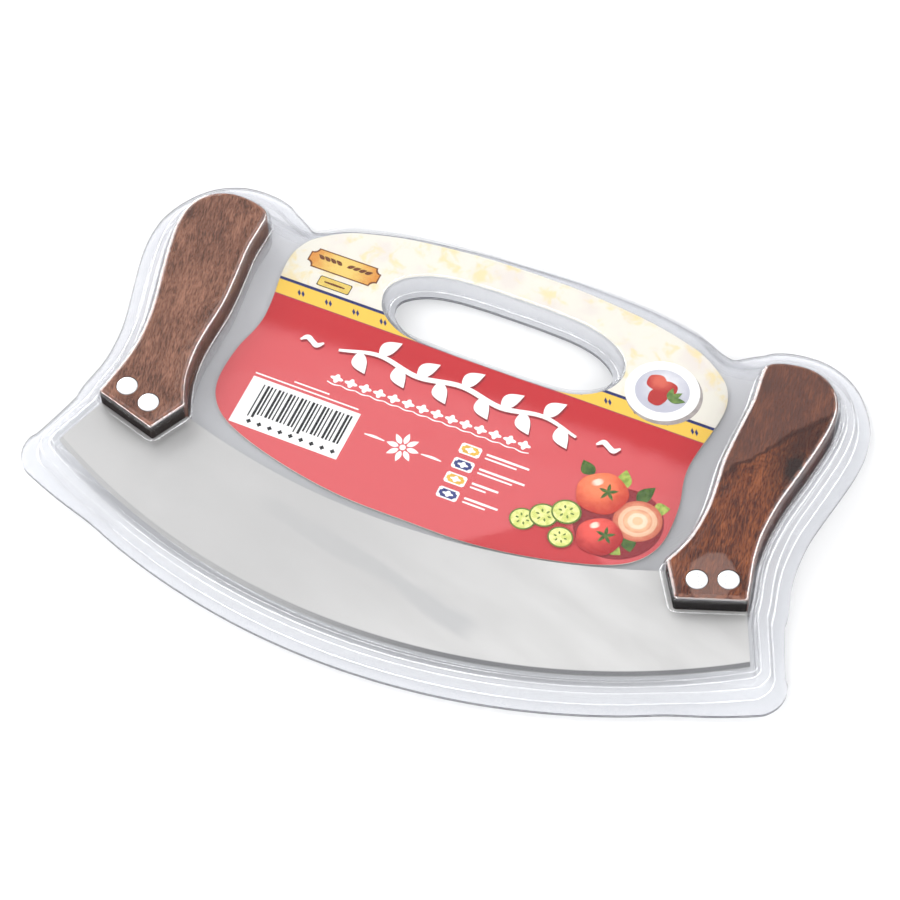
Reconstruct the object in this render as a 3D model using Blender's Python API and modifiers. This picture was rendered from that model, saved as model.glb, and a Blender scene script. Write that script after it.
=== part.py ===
"""Two-handled rocking knife lying in its clear display pack, with the insert card.

Metres, +Z up.  The blade lies along X, the handles point to +Y, and the pack stands on its two
handle pockets at z = 0.  Tables of outline points are in millimetres: x from the mirror plane or
from the middle of a handle's rivets, y from the line of the rivets, or from the card's lower
edge for the card and its slot.
"""
import math

import bmesh
import bpy

MM = 0.001
CLEARANCE = 0.0003
CURVE_STEPS = 2
EDGE_STEPS = 10
TIP_STEPS = 5
BLADE_STEPS = 24
ROUND_STEPS = 24

BLADE_CHORD = 0.250
BLADE_THICKNESS = 0.0015
EDGE_SAG = 0.0342
TIP_DROP = 0.0220
SPINE_RADIUS = 0.2606
SPINE_DROP = 0.0130
GRIND_WIDTH = 0.0014
EDGE_FLAT = 0.0001
TANG_HEIGHT = 0.0205
TANG_INSET = 0.0006

HANDLE_LENGTH = 0.1025
HANDLE_WIDTH = 0.0352
HANDLE_THICKNESS = 0.0175
HANDLE_ROUNDING = 0.0016
HANDLE_FROM_TIP = 0.0208

RIVET_RADIUS = 0.00363
RIVET_HEAD = 0.0020
RIVET_CHAMFER = 0.0002
SHANK_RADIUS = 0.0025
PIN_RADIUS = 0.0013
RIVET_SPAN_X = 0.00976
RIVET_SPAN_Y = 0.00362

CARD_SIDE_GAP = 0.0085
CARD_SPINE_GAP = 0.0032
CARD_RISE = 0.0105
CARD_THICKNESS = 0.0004
CARD_SHIFT = 0.0008
CARD_TURN = math.radians(-2.5)
CARD_PIVOT = 0.0598
CARD_ROOM = 0.0005
DIP_DROP = 0.0010

SHEET = 0.0005
FLANGE_LIFT = 0.0010
TERRACE_DROP = 0.0028
WALL_DRAFT = 0.0009
STEP_DRAFT = 0.0005
BULGE_DRAFT = 0.0006
BULGE_CHAMFER = 0.0012
POCKET_CHAMFER = 0.0010
BACK_INSET = 0.0012
EDGE_RELIEF = 0.0056
SLOT_LIP = 0.0045
SLOT_GAP = 0.0006
SLOT_DRAFT = 0.0016

HANDLE_OUTER = ((13.4, -3.3), (12.1, 4.0), (10.5, 13.0), (10.0, 23.0), (11.4, 36.0), (14.0, 48.0),
                (16.6, 60.0), (18.3, 71.0), (18.0, 79.5), (15.4, 85.4), (10.8, 89.6), (4.4, 91.7),
                (-3.2, 91.2), (-8.8, 89.2))
HANDLE_INNER = ((-10.7, 86.6), (-10.8, 82.0), (-10.3, 72.0), (-11.4, 57.0), (-11.9, 46.0),
                (-11.1, 34.0), (-10.9, 25.0), (-12.1, 15.0), (-14.0, 8.5), (-16.9, 1.9))
HANDLE_TOE = (-9.6, -10.8)
HANDLE_WAIST = -11.9
HANDLE_END = 91.7
HANDLE_TABLE_SIZE = (35.2, 102.5)

HANDLE_MARGINS = ((3.0, 7.4, 13.0), (3.2, 7.6, 13.6), (3.2, 7.5, 13.2), (3.2, 7.3, 12.9),
                  (3.2, 6.9, 12.3), (3.2, 6.8, 12.2), (3.2, 6.8, 12.4), (3.2, 6.9, 12.6),
                  (3.2, 6.9, 12.4), (3.2, 7.2, 12.4), (3.2, 8.0, 13.6), (3.2, 8.6, 14.6),
                  (3.2, 8.6, 14.8), (3.2, 8.4, 14.6))
EDGE_MARGINS = (2.8, 5.6, 10.4)
TIP_MARGINS = (2.8, 7.2, 14.0)
TIP_MARGINS_FROM = 0.80
TIP_RADIUS = 0.0005
TIP_BULGE = 0.0010
TIP_RIM_FALL = 0.0020
LOBE_MARGINS = ((2.4, 5.4, 11.6), (1.4, 2.6, 7.4), (1.0, 1.9, 5.0), (1.0, 1.9, 4.8),
                (1.0, 1.9, 5.0), (1.0, 1.9, 5.2), (1.0, 1.9, 5.5), (1.0, 1.9, 5.6))

CARD_KEYS = ((0.0, 0.0), (18.5, 0.1), (31.7, 1.3), (45.0, 3.6), (58.0, 6.8), (67.0, 9.8),
             (74.0, 13.1), (79.0, 17.3), (82.4, 22.8), (83.8, 29.8), (83.2, 41.8), (80.9, 51.8),
             (80.4, 57.8), (81.2, 65.8), (82.6, 73.8), (83.5, 82.8), (82.5, 89.2), (79.0, 95.1),
             (68.8, 102.3), (59.5, 105.5), (48.0, 108.2), (35.3, 110.0), (18.0, 111.6),
             (0.0, 112.0))
CARD_TOP_FROM = 17
SLOT_KEYS = ((0.0, 68.2), (16.0, 68.3), (30.0, 69.1), (37.5, 71.8), (43.5, 76.8), (45.9, 83.3),
             (44.6, 88.8), (40.5, 93.1), (34.0, 96.6), (25.0, 98.8), (12.0, 99.7), (0.0, 99.8))
CARD_TABLE_SIZE = (167.6, 112.0)

HALF_CHORD = BLADE_CHORD / 2
HANDLE_X = HALF_CHORD - HANDLE_FROM_TIP
HANDLE_INSIDE = HANDLE_X + HANDLE_WAIST * HANDLE_WIDTH / HANDLE_TABLE_SIZE[0]
CARD_WIDTH = 2 * (HANDLE_INSIDE - CARD_SIDE_GAP)
CARD_BASE = CARD_SPINE_GAP - SPINE_DROP
CARD_TOP = HANDLE_END * HANDLE_LENGTH / HANDLE_TABLE_SIZE[1] + CARD_RISE
CARD_HEIGHT = CARD_TOP - CARD_BASE
HANDLE_BOTTOM = SHEET + CLEARANCE
HANDLE_TOP = HANDLE_BOTTOM + HANDLE_THICKNESS
BLADE_MIDDLE = HANDLE_BOTTOM + HANDLE_THICKNESS / 2
BLADE_TOP = BLADE_MIDDLE + BLADE_THICKNESS / 2
BLADE_BOTTOM = BLADE_MIDDLE - BLADE_THICKNESS / 2
BACK_PLATEAU = BLADE_BOTTOM - CLEARANCE
CARD_BOTTOM = BACK_PLATEAU + CLEARANCE
FRONT_PLATEAU = BLADE_TOP + CLEARANCE + SHEET
BULGE_TOP = HANDLE_TOP + CLEARANCE + SHEET
TERRACE = FRONT_PLATEAU - TERRACE_DROP
BACK_FLANGE = FLANGE_LIFT + SHEET
FRONT_FLANGE = BACK_FLANGE + CLEARANCE + SHEET

WOOD_LEFT = (0.205, 0.098, 0.065, 1.0)
WOOD_RIGHT = (0.165, 0.062, 0.042, 1.0)
STEEL = (0.62, 0.63, 0.64, 1.0)
RIVET_METAL = (0.72, 0.72, 0.72, 1.0)
CLEAR_SHEET = (0.86, 0.88, 0.90, 0.35)
CARD_INK = (0.60, 0.045, 0.050, 1.0)


def material(name, colour, roughness, metallic=0.0):
    """Return a Principled material."""
    made = bpy.data.materials.new(name)
    made.use_nodes = True
    shader = made.node_tree.nodes["Principled BSDF"]
    shader.inputs["Base Color"].default_value = colour
    shader.inputs["Roughness"].default_value = roughness
    shader.inputs["Metallic"].default_value = metallic
    shader.inputs["Alpha"].default_value = colour[3]
    made.diffuse_color = colour
    return made


def smooth(keys, steps):
    """Return points on a smooth curve through keys, each key with any number of values."""
    count = len(keys)
    spans = [math.dist(keys[i][:2], keys[i + 1][:2]) for i in range(count - 1)]
    slopes = []
    for i in range(count):
        before = max(i - 1, 0)
        after = min(i + 1, count - 1)
        length = sum(spans[before:after])
        slopes.append([(b - a) / length for a, b in zip(keys[before], keys[after])])
    points = []
    for i, span in enumerate(spans):
        for step in range(steps):
            t = step / steps
            h0 = 2 * t**3 - 3 * t**2 + 1
            h1 = t**3 - 2 * t**2 + t
            h2 = 3 * t**2 - 2 * t**3
            h3 = t**3 - t**2
            points.append(tuple(h0 * a + h1 * span * da + h2 * b + h3 * span * db for a, b, da, db
                                in zip(keys[i], keys[i + 1], slopes[i], slopes[i + 1])))
    points.append(tuple(keys[-1]))
    return points


def mirrored(half):
    """Return a closed loop from its right half, which runs from the plane back to the plane."""
    return half + [(-p[0],) + tuple(p[1:]) for p in reversed(half[1:-1])]


def flipped(loop):
    """Return a loop mirrored to the other side of the plane, still anticlockwise."""
    return [(-p[0],) + tuple(p[1:]) for p in reversed(loop)]


def unit(a, b):
    """Return the direction from a to b in the plan."""
    length = math.dist(a[:2], b[:2])
    return (b[0] - a[0]) / length, (b[1] - a[1]) / length


def outward(loop):
    """Return each point's mitre vector, which moves both of its sides out by one."""
    vectors = []
    for i, point in enumerate(loop):
        ax, ay = unit(loop[i - 1], point)
        bx, by = unit(point, loop[(i + 1) % len(loop)])
        scale = 1 + ax * bx + ay * by
        vectors.append(((ay + by) / scale, -(ax + bx) / scale))
    return vectors


def offset(loop, distance):
    """Return an anticlockwise loop moved outward by one distance, or by one for each point."""
    far = distance if isinstance(distance, list) else [distance] * len(loop)
    return [(p[0] + v[0] * d, p[1] + v[1] * d) for p, v, d in zip(loop, outward(loop), far)]


def rounded(before, corner, after, radius, steps):
    """Return an arc that takes the place of a corner."""
    ax, ay = unit(corner, before)
    bx, by = unit(corner, after)
    half = math.acos(ax * bx + ay * by) / 2
    reach = radius / math.tan(half)
    start = (corner[0] + ax * reach, corner[1] + ay * reach)
    end = (corner[0] + bx * reach, corner[1] + by * reach)
    middle = radius / math.sin(half) / math.hypot(ax + bx, ay + by)
    centre = (corner[0] + (ax + bx) * middle, corner[1] + (ay + by) * middle)
    first = math.atan2(start[1] - centre[1], start[0] - centre[0])
    last = math.atan2(end[1] - centre[1], end[0] - centre[0])
    sweep = (last - first + math.pi) % (2 * math.pi) - math.pi
    return [(centre[0] + radius * math.cos(first + sweep * i / steps),
             centre[1] + radius * math.sin(first + sweep * i / steps)) for i in range(steps + 1)]


def handle_point(point):
    """Return a point of the handle's table in metres, on the right handle."""
    return (HANDLE_X + point[0] * HANDLE_WIDTH / HANDLE_TABLE_SIZE[0],
            point[1] * HANDLE_LENGTH / HANDLE_TABLE_SIZE[1])


def handle_outline():
    """Return the right handle's closed outline."""
    side = [handle_point(p) for p in HANDLE_OUTER + HANDLE_INNER]
    return smooth(side, CURVE_STEPS) + [handle_point(HANDLE_TOE)]


def edge_point(x):
    """Return the point of the cutting edge at x."""
    radius = (HALF_CHORD**2 + EDGE_SAG**2) / (2 * EDGE_SAG)
    return x, radius - TIP_DROP - EDGE_SAG - math.sqrt(radius**2 - x**2)


def spine_point(x):
    """Return the point of the blade's spine at x."""
    return x, SPINE_RADIUS - SPINE_DROP - math.sqrt(SPINE_RADIUS**2 - x**2)


def blade_half(grind):
    """Return the right half of the blade's outline, its edge drawn in by the grind."""
    tip = edge_point(HALF_CHORD)
    corner = handle_point(HANDLE_OUTER[0])
    along = unit(tip, corner)
    bottom = [edge_point(HALF_CHORD * i / BLADE_STEPS) for i in range(BLADE_STEPS)]
    edge = [(p[0] - grind * u, p[1] + grind * v) for p, (u, v) in zip(bottom, edge_normals(bottom))]
    edge.append((tip[0] + along[0] * grind, tip[1] + along[1] * grind))
    outer = [handle_point(p) for p in HANDLE_OUTER[:3]]
    inner = [handle_point(p) for p in HANDLE_INNER[-3:-1]]
    tang = [corner] + [(p[0] - TANG_INSET, p[1]) for p in outer[1:]]
    tang.append((handle_point(HANDLE_OUTER[3])[0] - TANG_INSET, TANG_HEIGHT))
    tang.append((handle_point(HANDLE_INNER[6])[0] + TANG_INSET, TANG_HEIGHT))
    tang += [(p[0] + TANG_INSET, p[1]) for p in inner]
    start = handle_point(HANDLE_INNER[-1])[0] + TANG_INSET
    spine = [spine_point(start * (1 - i / BLADE_STEPS)) for i in range(BLADE_STEPS + 1)]
    return edge + tang + spine


def edge_normals(points):
    """Return the unit vectors from the cutting edge's centre through its points."""
    radius = (HALF_CHORD**2 + EDGE_SAG**2) / (2 * EDGE_SAG)
    return [(x / radius, math.sqrt(1 - (x / radius)**2)) for x, _ in points]


def card_point(point, turn):
    """Return a point of the card's tables in metres, the card turned in its plane by an angle."""
    dx = point[0] * CARD_WIDTH / CARD_TABLE_SIZE[0]
    dy = point[1] * CARD_HEIGHT / CARD_TABLE_SIZE[1] - CARD_PIVOT
    cos, sin = math.cos(turn), math.sin(turn)
    return dx * cos - dy * sin, CARD_BASE + CARD_PIVOT + dx * sin + dy * cos


def lying(keys):
    """Return the loop of the card's keys as the card lies, a little turned and aside."""
    loop = [card_point(p, CARD_TURN) for p in mirrored(smooth(keys, CURVE_STEPS))]
    return [(x + CARD_SHIFT, y) for x, y in loop]


def pack_top(shoulder):
    """Return the pack's line from a handle's shoulder over a card turned either way."""
    over = [card_point(p, abs(CARD_TURN)) for p in CARD_KEYS[CARD_TOP_FROM:-1]]
    over = [(x, y + CARD_ROOM) for x, y in over]
    over.append((0.0, over[-1][1]))
    dip = ((shoulder[0] + over[0][0]) / 2, (shoulder[1] + over[0][1]) / 2 - DIP_DROP)
    return [dip] + over


def card_outline():
    """Return the card's closed outline."""
    return lying(CARD_KEYS)


def slot_outline():
    """Return the closed outline of the carry slot at the card."""
    return lying(SLOT_KEYS)


def ease(t):
    """Return t from 0 to 1 with a soft start and end."""
    t = max(0.0, min(1.0, t))
    return t * t * (3 - 2 * t)


def pack_path():
    """Return the knife's and card's outer line as a closed loop.

    Each point holds x, y and four margins outward from it: the front plateau's edge, the front
    wall's top, the rim, and the back plateau's edge.
    """
    half = []
    for i in range(EDGE_STEPS):
        share = i / EDGE_STEPS
        blend = ease((share - TIP_MARGINS_FROM) / (1 - TIP_MARGINS_FROM))
        plateau, wall, rim = [(a + (b - a) * blend) * MM for a, b in zip(EDGE_MARGINS, TIP_MARGINS)]
        relief = EDGE_RELIEF * min(1.0, HALF_CHORD * (1 - share) / HANDLE_FROM_TIP)
        half.append(edge_point(HALF_CHORD * share)
                    + (plateau, wall, rim, plateau - BACK_INSET - relief))
    tip = edge_point(HALF_CHORD)
    corner = handle_point(HANDLE_OUTER[0])
    plateau, wall, rim = [margin * MM for margin in TIP_MARGINS]
    arc = rounded(half[-1], tip, corner, TIP_RADIUS, TIP_STEPS)
    for i, point in enumerate(arc):
        share = i / TIP_STEPS
        reach = rim + TIP_BULGE * math.sin(math.pi * share) - TIP_RIM_FALL * share
        half.append(point + (plateau, wall, reach, plateau - BACK_INSET))
    side = [handle_point(p) + tuple(m * MM for m in margins) + (margins[0] * MM - BACK_INSET,)
            for p, margins in zip(HANDLE_OUTER, HANDLE_MARGINS)]
    lobe = [point + tuple(m * MM for m in margins) + (margins[0] * MM - BACK_INSET,)
            for point, margins in zip(pack_top(side[-1]), LOBE_MARGINS)]
    return mirrored(half + smooth(side + lobe, CURVE_STEPS))


def ring(mesh, loop, height):
    """Add a loop of vertices to a bmesh and return them."""
    return [mesh.verts.new((p[0], p[1], height)) for p in loop]


def band(mesh, inner, outer):
    """Join two rings of one count by faces that look up where the rings lie flat."""
    for i in range(len(inner)):
        j = (i + 1) % len(inner)
        mesh.faces.new((inner[i], outer[i], outer[j], inner[j]))


def edges_round(mesh, verts):
    """Return the edges of a ring, made where they are missing."""
    found = []
    for i, vert in enumerate(verts):
        after = verts[(i + 1) % len(verts)]
        edge = mesh.edges.get((vert, after))
        found.append(edge if edge else mesh.edges.new((vert, after)))
    return found


def finish(mesh, name, look, home):
    """Turn a bmesh into an object of the part."""
    data = bpy.data.meshes.new(name)
    mesh.to_mesh(data)
    mesh.free()
    data.materials.append(look)
    made = bpy.data.objects.new(name, data)
    home.objects.link(made)
    return made


def slab(name, loops, low, high, look, home):
    """Return a flat plate: a 2D curve of an outline and its holes, extruded, made a mesh."""
    curve = bpy.data.curves.new(name, "CURVE")
    curve.dimensions = "2D"
    curve.fill_mode = "BOTH"
    curve.extrude = (high - low) / 2
    for loop in loops:
        spline = curve.splines.new("POLY")
        spline.points.add(len(loop) - 1)
        for target, point in zip(spline.points, loop):
            target.co = (point[0], point[1], 0.0, 1.0)
        spline.use_cyclic_u = True
    holder = bpy.data.objects.new(name + "_curve", curve)
    home.objects.link(holder)
    bpy.context.view_layer.update()
    seen = holder.evaluated_get(bpy.context.evaluated_depsgraph_get())
    mesh = bmesh.new()
    data = bpy.data.meshes.new_from_object(seen)
    mesh.from_mesh(data)
    bmesh.ops.remove_doubles(mesh, verts=mesh.verts, dist=1e-6)
    if len(loops) == 1:
        caps = [face for face in mesh.faces if abs(face.normal.z) > 0.5]
        bmesh.ops.dissolve_faces(mesh, faces=caps)
    bmesh.ops.translate(mesh, verts=mesh.verts, vec=(0.0, 0.0, (high + low) / 2))
    bpy.data.objects.remove(holder)
    return finish(mesh, name, look, home)


def cut(target, cutter):
    """Cut one object by another with an exact Boolean."""
    step = target.modifiers.new("cut_" + cutter.name, "BOOLEAN")
    step.operation = "DIFFERENCE"
    step.solver = "EXACT"
    step.object = cutter


def cutter_of(mesh, name, home):
    """Return a hidden cutter object."""
    data = bpy.data.meshes.new(name)
    mesh.to_mesh(data)
    mesh.free()
    made = bpy.data.objects.new(name, data)
    made.hide_render = True
    made.display_type = "WIRE"
    home.objects.link(made)
    return made


def rod_cutter(name, x, y, low, high, radius, home):
    """Return an upright cylinder cutter."""
    mesh = bmesh.new()
    bmesh.ops.create_cone(mesh, cap_ends=True, segments=ROUND_STEPS, radius1=radius, radius2=radius,
                          depth=high - low)
    bmesh.ops.translate(mesh, verts=mesh.verts, vec=(x, y, (low + high) / 2))
    return cutter_of(mesh, name, home)


def box_cutter(name, low, high, home):
    """Return a box cutter between two corners."""
    mesh = bmesh.new()
    bmesh.ops.create_cube(mesh, size=1.0)
    size = [b - a for a, b in zip(low, high)]
    middle = [(a + b) / 2 for a, b in zip(low, high)]
    bmesh.ops.scale(mesh, verts=mesh.verts, vec=size)
    bmesh.ops.translate(mesh, verts=mesh.verts, vec=middle)
    return cutter_of(mesh, name, home)


def rivet_places(side):
    """Return the plan position of each rivet of a handle, outer one first."""
    return {"outer": (side * (HANDLE_X + RIVET_SPAN_X / 2), RIVET_SPAN_Y / 2),
            "inner": (side * (HANDLE_X - RIVET_SPAN_X / 2), -RIVET_SPAN_Y / 2)}


def blade(look, home, cutters):
    """Build the blade: two flat faces, a grind on both sides of the edge, and rivet holes."""
    mesh = bmesh.new()
    ground = mirrored(blade_half(GRIND_WIDTH))
    full = mirrored(blade_half(0.0))
    levels = ((ground, BLADE_BOTTOM), (full, BLADE_MIDDLE - EDGE_FLAT),
              (full, BLADE_MIDDLE + EDGE_FLAT), (ground, BLADE_TOP))
    rings = [ring(mesh, loop, height) for loop, height in levels]
    for upper, lower in zip(rings[1:], rings):
        band(mesh, upper, lower)
    mesh.faces.new(rings[-1])
    mesh.faces.new(list(reversed(rings[0])))
    made = finish(mesh, "blade", look, home)
    for side, word in ((-1, "left"), (1, "right")):
        for place, (x, y) in rivet_places(side).items():
            cut(made, rod_cutter(f"blade_hole_{word}_{place}", x, y, 0.0, BULGE_TOP,
                                 SHANK_RADIUS + CLEARANCE, cutters))
    return made


def handle(side, word, look, home, cutters):
    """Build a one-piece handle with its sawn kerf and its counterbored rivet holes."""
    outline = handle_outline()
    if side < 0:
        outline = flipped(outline)
    made = slab(f"handle_{word}", [outline], HANDLE_BOTTOM, HANDLE_TOP, look, home)
    weights = made.data.attributes.new("bevel_weight_edge", "FLOAT", "EDGE")
    ends = (HANDLE_BOTTOM, HANDLE_TOP)
    counted = {}
    for face in made.data.polygons:
        for key in face.edge_keys:
            counted.setdefault(key, []).append(abs(face.normal.z))
    for edge in made.data.edges:
        heights = {round(made.data.vertices[v].co.z, 6) for v in edge.vertices}
        flat = len(heights) == 1 and any(abs(h - e) < 1e-5 for h in heights for e in ends)
        faces = counted[edge.key]
        weights.data[edge.index].value = 1.0 if flat and min(faces) < 0.5 < max(faces) else 0.0
    bevel = made.modifiers.new("rounded_faces", "BEVEL")
    bevel.limit_method = "WEIGHT"
    bevel.width = HANDLE_ROUNDING
    bevel.segments = 3
    kerf = BLADE_THICKNESS / 2 + CLEARANCE
    low = (side * HANDLE_X - HANDLE_WIDTH, -HANDLE_WIDTH, BLADE_MIDDLE - kerf)
    high = (side * HANDLE_X + HANDLE_WIDTH, TANG_HEIGHT + CLEARANCE, BLADE_MIDDLE + kerf)
    cut(made, box_cutter(f"kerf_{word}", low, high, cutters))
    for place, (x, y) in rivet_places(side).items():
        wide = RIVET_RADIUS + CLEARANCE
        seat = RIVET_HEAD + CLEARANCE
        cut(made, rod_cutter(f"shank_hole_{word}_{place}", x, y, 0.0, BULGE_TOP,
                             SHANK_RADIUS + CLEARANCE, cutters))
        cut(made, rod_cutter(f"front_seat_{word}_{place}", x, y, HANDLE_TOP - seat, BULGE_TOP,
                             wide, cutters))
        cut(made, rod_cutter(f"back_seat_{word}_{place}", x, y, 0.0, HANDLE_BOTTOM + seat,
                             wide, cutters))
    return made


def turned_piece(name, profile, x, y, look, home):
    """Spin a profile of (radius, height) points about an upright axis."""
    mesh = bmesh.new()
    verts = [mesh.verts.new((radius, 0.0, height)) for radius, height in profile]
    for a, b in zip(verts, verts[1:]):
        mesh.edges.new((a, b))
    made = finish(mesh, name, look, home)
    made.location = (x, y, 0.0)
    screw = made.modifiers.new("turned", "SCREW")
    screw.steps = ROUND_STEPS
    screw.render_steps = ROUND_STEPS
    screw.use_merge_vertices = True
    screw.merge_threshold = 1e-5
    return made


def rivets(side, word, look, home):
    """Build a handle's cutler's rivets: a tube half from the front, a pin half from the back."""
    front = HANDLE_TOP
    back = HANDLE_BOTTOM
    bore = PIN_RADIUS + CLEARANCE
    for place, (x, y) in rivet_places(side).items():
        tube = [(0.0, front), (RIVET_RADIUS - RIVET_CHAMFER, front), (RIVET_RADIUS, front - RIVET_CHAMFER),
                (RIVET_RADIUS, front - RIVET_HEAD), (SHANK_RADIUS, front - RIVET_HEAD),
                (SHANK_RADIUS, back + RIVET_HEAD + CLEARANCE),
                (bore, back + RIVET_HEAD + CLEARANCE), (bore, front - RIVET_HEAD),
                (0.0, front - RIVET_HEAD)]
        pin = [(0.0, front - RIVET_HEAD - CLEARANCE), (PIN_RADIUS, front - RIVET_HEAD - CLEARANCE),
               (PIN_RADIUS, back + RIVET_HEAD), (RIVET_RADIUS, back + RIVET_HEAD),
               (RIVET_RADIUS, back + RIVET_CHAMFER), (RIVET_RADIUS - RIVET_CHAMFER, back), (0.0, back)]
        turned_piece(f"rivet_{word}_{place}_front", tube, x, y, look, home)
        turned_piece(f"rivet_{word}_{place}_back", pin, x, y, look, home)


def sheet(name, mesh, look, home):
    """Return a thermoformed sheet: an open upper surface with its thickness below."""
    made = finish(mesh, name, look, home)
    shell = made.modifiers.new("sheet", "SOLIDIFY")
    shell.thickness = SHEET
    shell.offset = -1.0
    shell.use_even_offset = True
    shell.use_quality_normals = True
    return made


def fill_plateau(mesh, rings):
    """Fill the flat between an outer ring and the rings inside it, looking up."""
    edges = [edge for verts in rings for edge in edges_round(mesh, verts)]
    made = bmesh.ops.triangle_fill(mesh, use_beauty=True, use_dissolve=False, edges=edges,
                                   normal=(0.0, 0.0, 1.0))
    for face in made["geom"]:
        if isinstance(face, bmesh.types.BMFace):
            face.normal_update()
            if face.normal.z < 0:
                face.normal_flip()


def front_shell(look, home):
    """Build the front shell: flange, wall, terrace, step, plateau, two bulges and the slot."""
    path = pack_path()
    mesh = bmesh.new()
    plateau = ring(mesh, offset(path, [p[2] for p in path]), FRONT_PLATEAU)
    step_foot = ring(mesh, offset(path, [p[2] + STEP_DRAFT for p in path]), TERRACE)
    wall_top = ring(mesh, offset(path, [p[3] for p in path]), TERRACE)
    wall_foot = ring(mesh, offset(path, [p[3] + WALL_DRAFT for p in path]), FRONT_FLANGE)
    rim = ring(mesh, offset(path, [p[4] for p in path]), FRONT_FLANGE)
    rings = [plateau, step_foot, wall_top, wall_foot, rim]
    for inner, outer in zip(rings, rings[1:]):
        band(mesh, inner, outer)
    right = handle_outline()
    flats = [plateau]
    skin = CLEARANCE + SHEET
    for outline in (right, flipped(right)):
        foot = ring(mesh, offset(outline, skin + BULGE_DRAFT), FRONT_PLATEAU)
        shoulder = ring(mesh, offset(outline, skin), BULGE_TOP - BULGE_CHAMFER)
        crown = ring(mesh, offset(outline, skin - BULGE_CHAMFER), BULGE_TOP)
        band(mesh, shoulder, foot)
        band(mesh, crown, shoulder)
        mesh.faces.new(crown)
        flats.append(foot)
    slot = slot_outline()
    mouth = ring(mesh, offset(slot, -SLOT_GAP), FRONT_PLATEAU)
    slot_foot = ring(mesh, offset(slot, -SLOT_GAP - SLOT_DRAFT), FRONT_FLANGE)
    lip = ring(mesh, offset(slot, -SLOT_LIP), FRONT_FLANGE)
    band(mesh, slot_foot, mouth)
    band(mesh, lip, slot_foot)
    fill_plateau(mesh, flats + [mouth])
    return sheet("front_shell", mesh, look, home)


def back_shell(look, home):
    """Build the back shell: flange, wall, plateau, two handle pockets and the slot."""
    path = pack_path()
    mesh = bmesh.new()
    plateau = ring(mesh, offset(path, [p[5] for p in path]), BACK_PLATEAU)
    wall_foot = ring(mesh, offset(path, [p[5] + WALL_DRAFT for p in path]), BACK_FLANGE)
    rim = ring(mesh, offset(path, [p[4] for p in path]), BACK_FLANGE)
    band(mesh, plateau, wall_foot)
    band(mesh, wall_foot, rim)
    right = handle_outline()
    flats = [plateau]
    for outline in (right, flipped(right)):
        mouth = ring(mesh, offset(outline, CLEARANCE + BULGE_DRAFT), BACK_PLATEAU)
        side = ring(mesh, offset(outline, CLEARANCE), SHEET + POCKET_CHAMFER)
        floor = ring(mesh, offset(outline, CLEARANCE - POCKET_CHAMFER), SHEET)
        band(mesh, side, mouth)
        band(mesh, floor, side)
        mesh.faces.new(floor)
        flats.append(mouth)
    slot = slot_outline()
    slot_mouth = ring(mesh, offset(slot, CLEARANCE), BACK_PLATEAU)
    slot_foot = ring(mesh, offset(slot, SLOT_GAP - SLOT_DRAFT), BACK_FLANGE)
    lip = ring(mesh, offset(slot, -SLOT_LIP), BACK_FLANGE)
    band(mesh, slot_foot, slot_mouth)
    band(mesh, lip, slot_foot)
    fill_plateau(mesh, flats + [slot_mouth])
    return sheet("back_shell", mesh, look, home)


def build():
    """Build the whole part."""
    for old in list(bpy.data.objects):
        bpy.data.objects.remove(old)
    scene = bpy.context.scene.collection
    home = bpy.data.collections.new("rocking_knife_in_pack")
    cutters = bpy.data.collections.new("cutters")
    scene.children.link(home)
    scene.children.link(cutters)
    steel = material("steel", STEEL, 0.28, 1.0)
    rivet_metal = material("rivet_metal", RIVET_METAL, 0.25, 1.0)
    blade(steel, home, cutters)
    for side, word, colour in ((-1, "left", WOOD_LEFT), (1, "right", WOOD_RIGHT)):
        handle(side, word, material(f"wood_{word}", colour, 0.5), home, cutters)
        rivets(side, word, rivet_metal, home)
    clear = material("clear_sheet", CLEAR_SHEET, 0.08)
    front_shell(clear, home)
    back_shell(clear, home)
    slab("card_insert", [card_outline(), slot_outline()], CARD_BOTTOM,
         CARD_BOTTOM + CARD_THICKNESS, material("card_print", CARD_INK, 0.4), home)
    rim = [p[1] for p in offset(pack_path(), [p[4] for p in pack_path()])]
    middle = bpy.data.objects.new("pack_middle", None)
    middle.location = (0.0, -(min(rim) + max(rim)) / 2, 0.0)
    home.objects.link(middle)
    for group in (home, cutters):
        for made in group.objects:
            if made is not middle:
                made.parent = middle


build()
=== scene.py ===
"""Looks of a two-handled rocking knife that lies in its clear display pack with an insert card.

Metres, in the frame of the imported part.  Tables of outline points are in millimetres, on the right
half: x from the mirror plane or from the middle of a handle's rivets, y from the line of the rivets
or, for the card and its print, from the card's lower edge.
"""
from __future__ import annotations

import logging
import math
from contextlib import contextmanager
from dataclasses import dataclass, field
from enum import Enum
from typing import Any, Callable, Iterator, Sequence

import bmesh
import bpy
import numpy as np
from mathutils import Matrix, Vector

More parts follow.
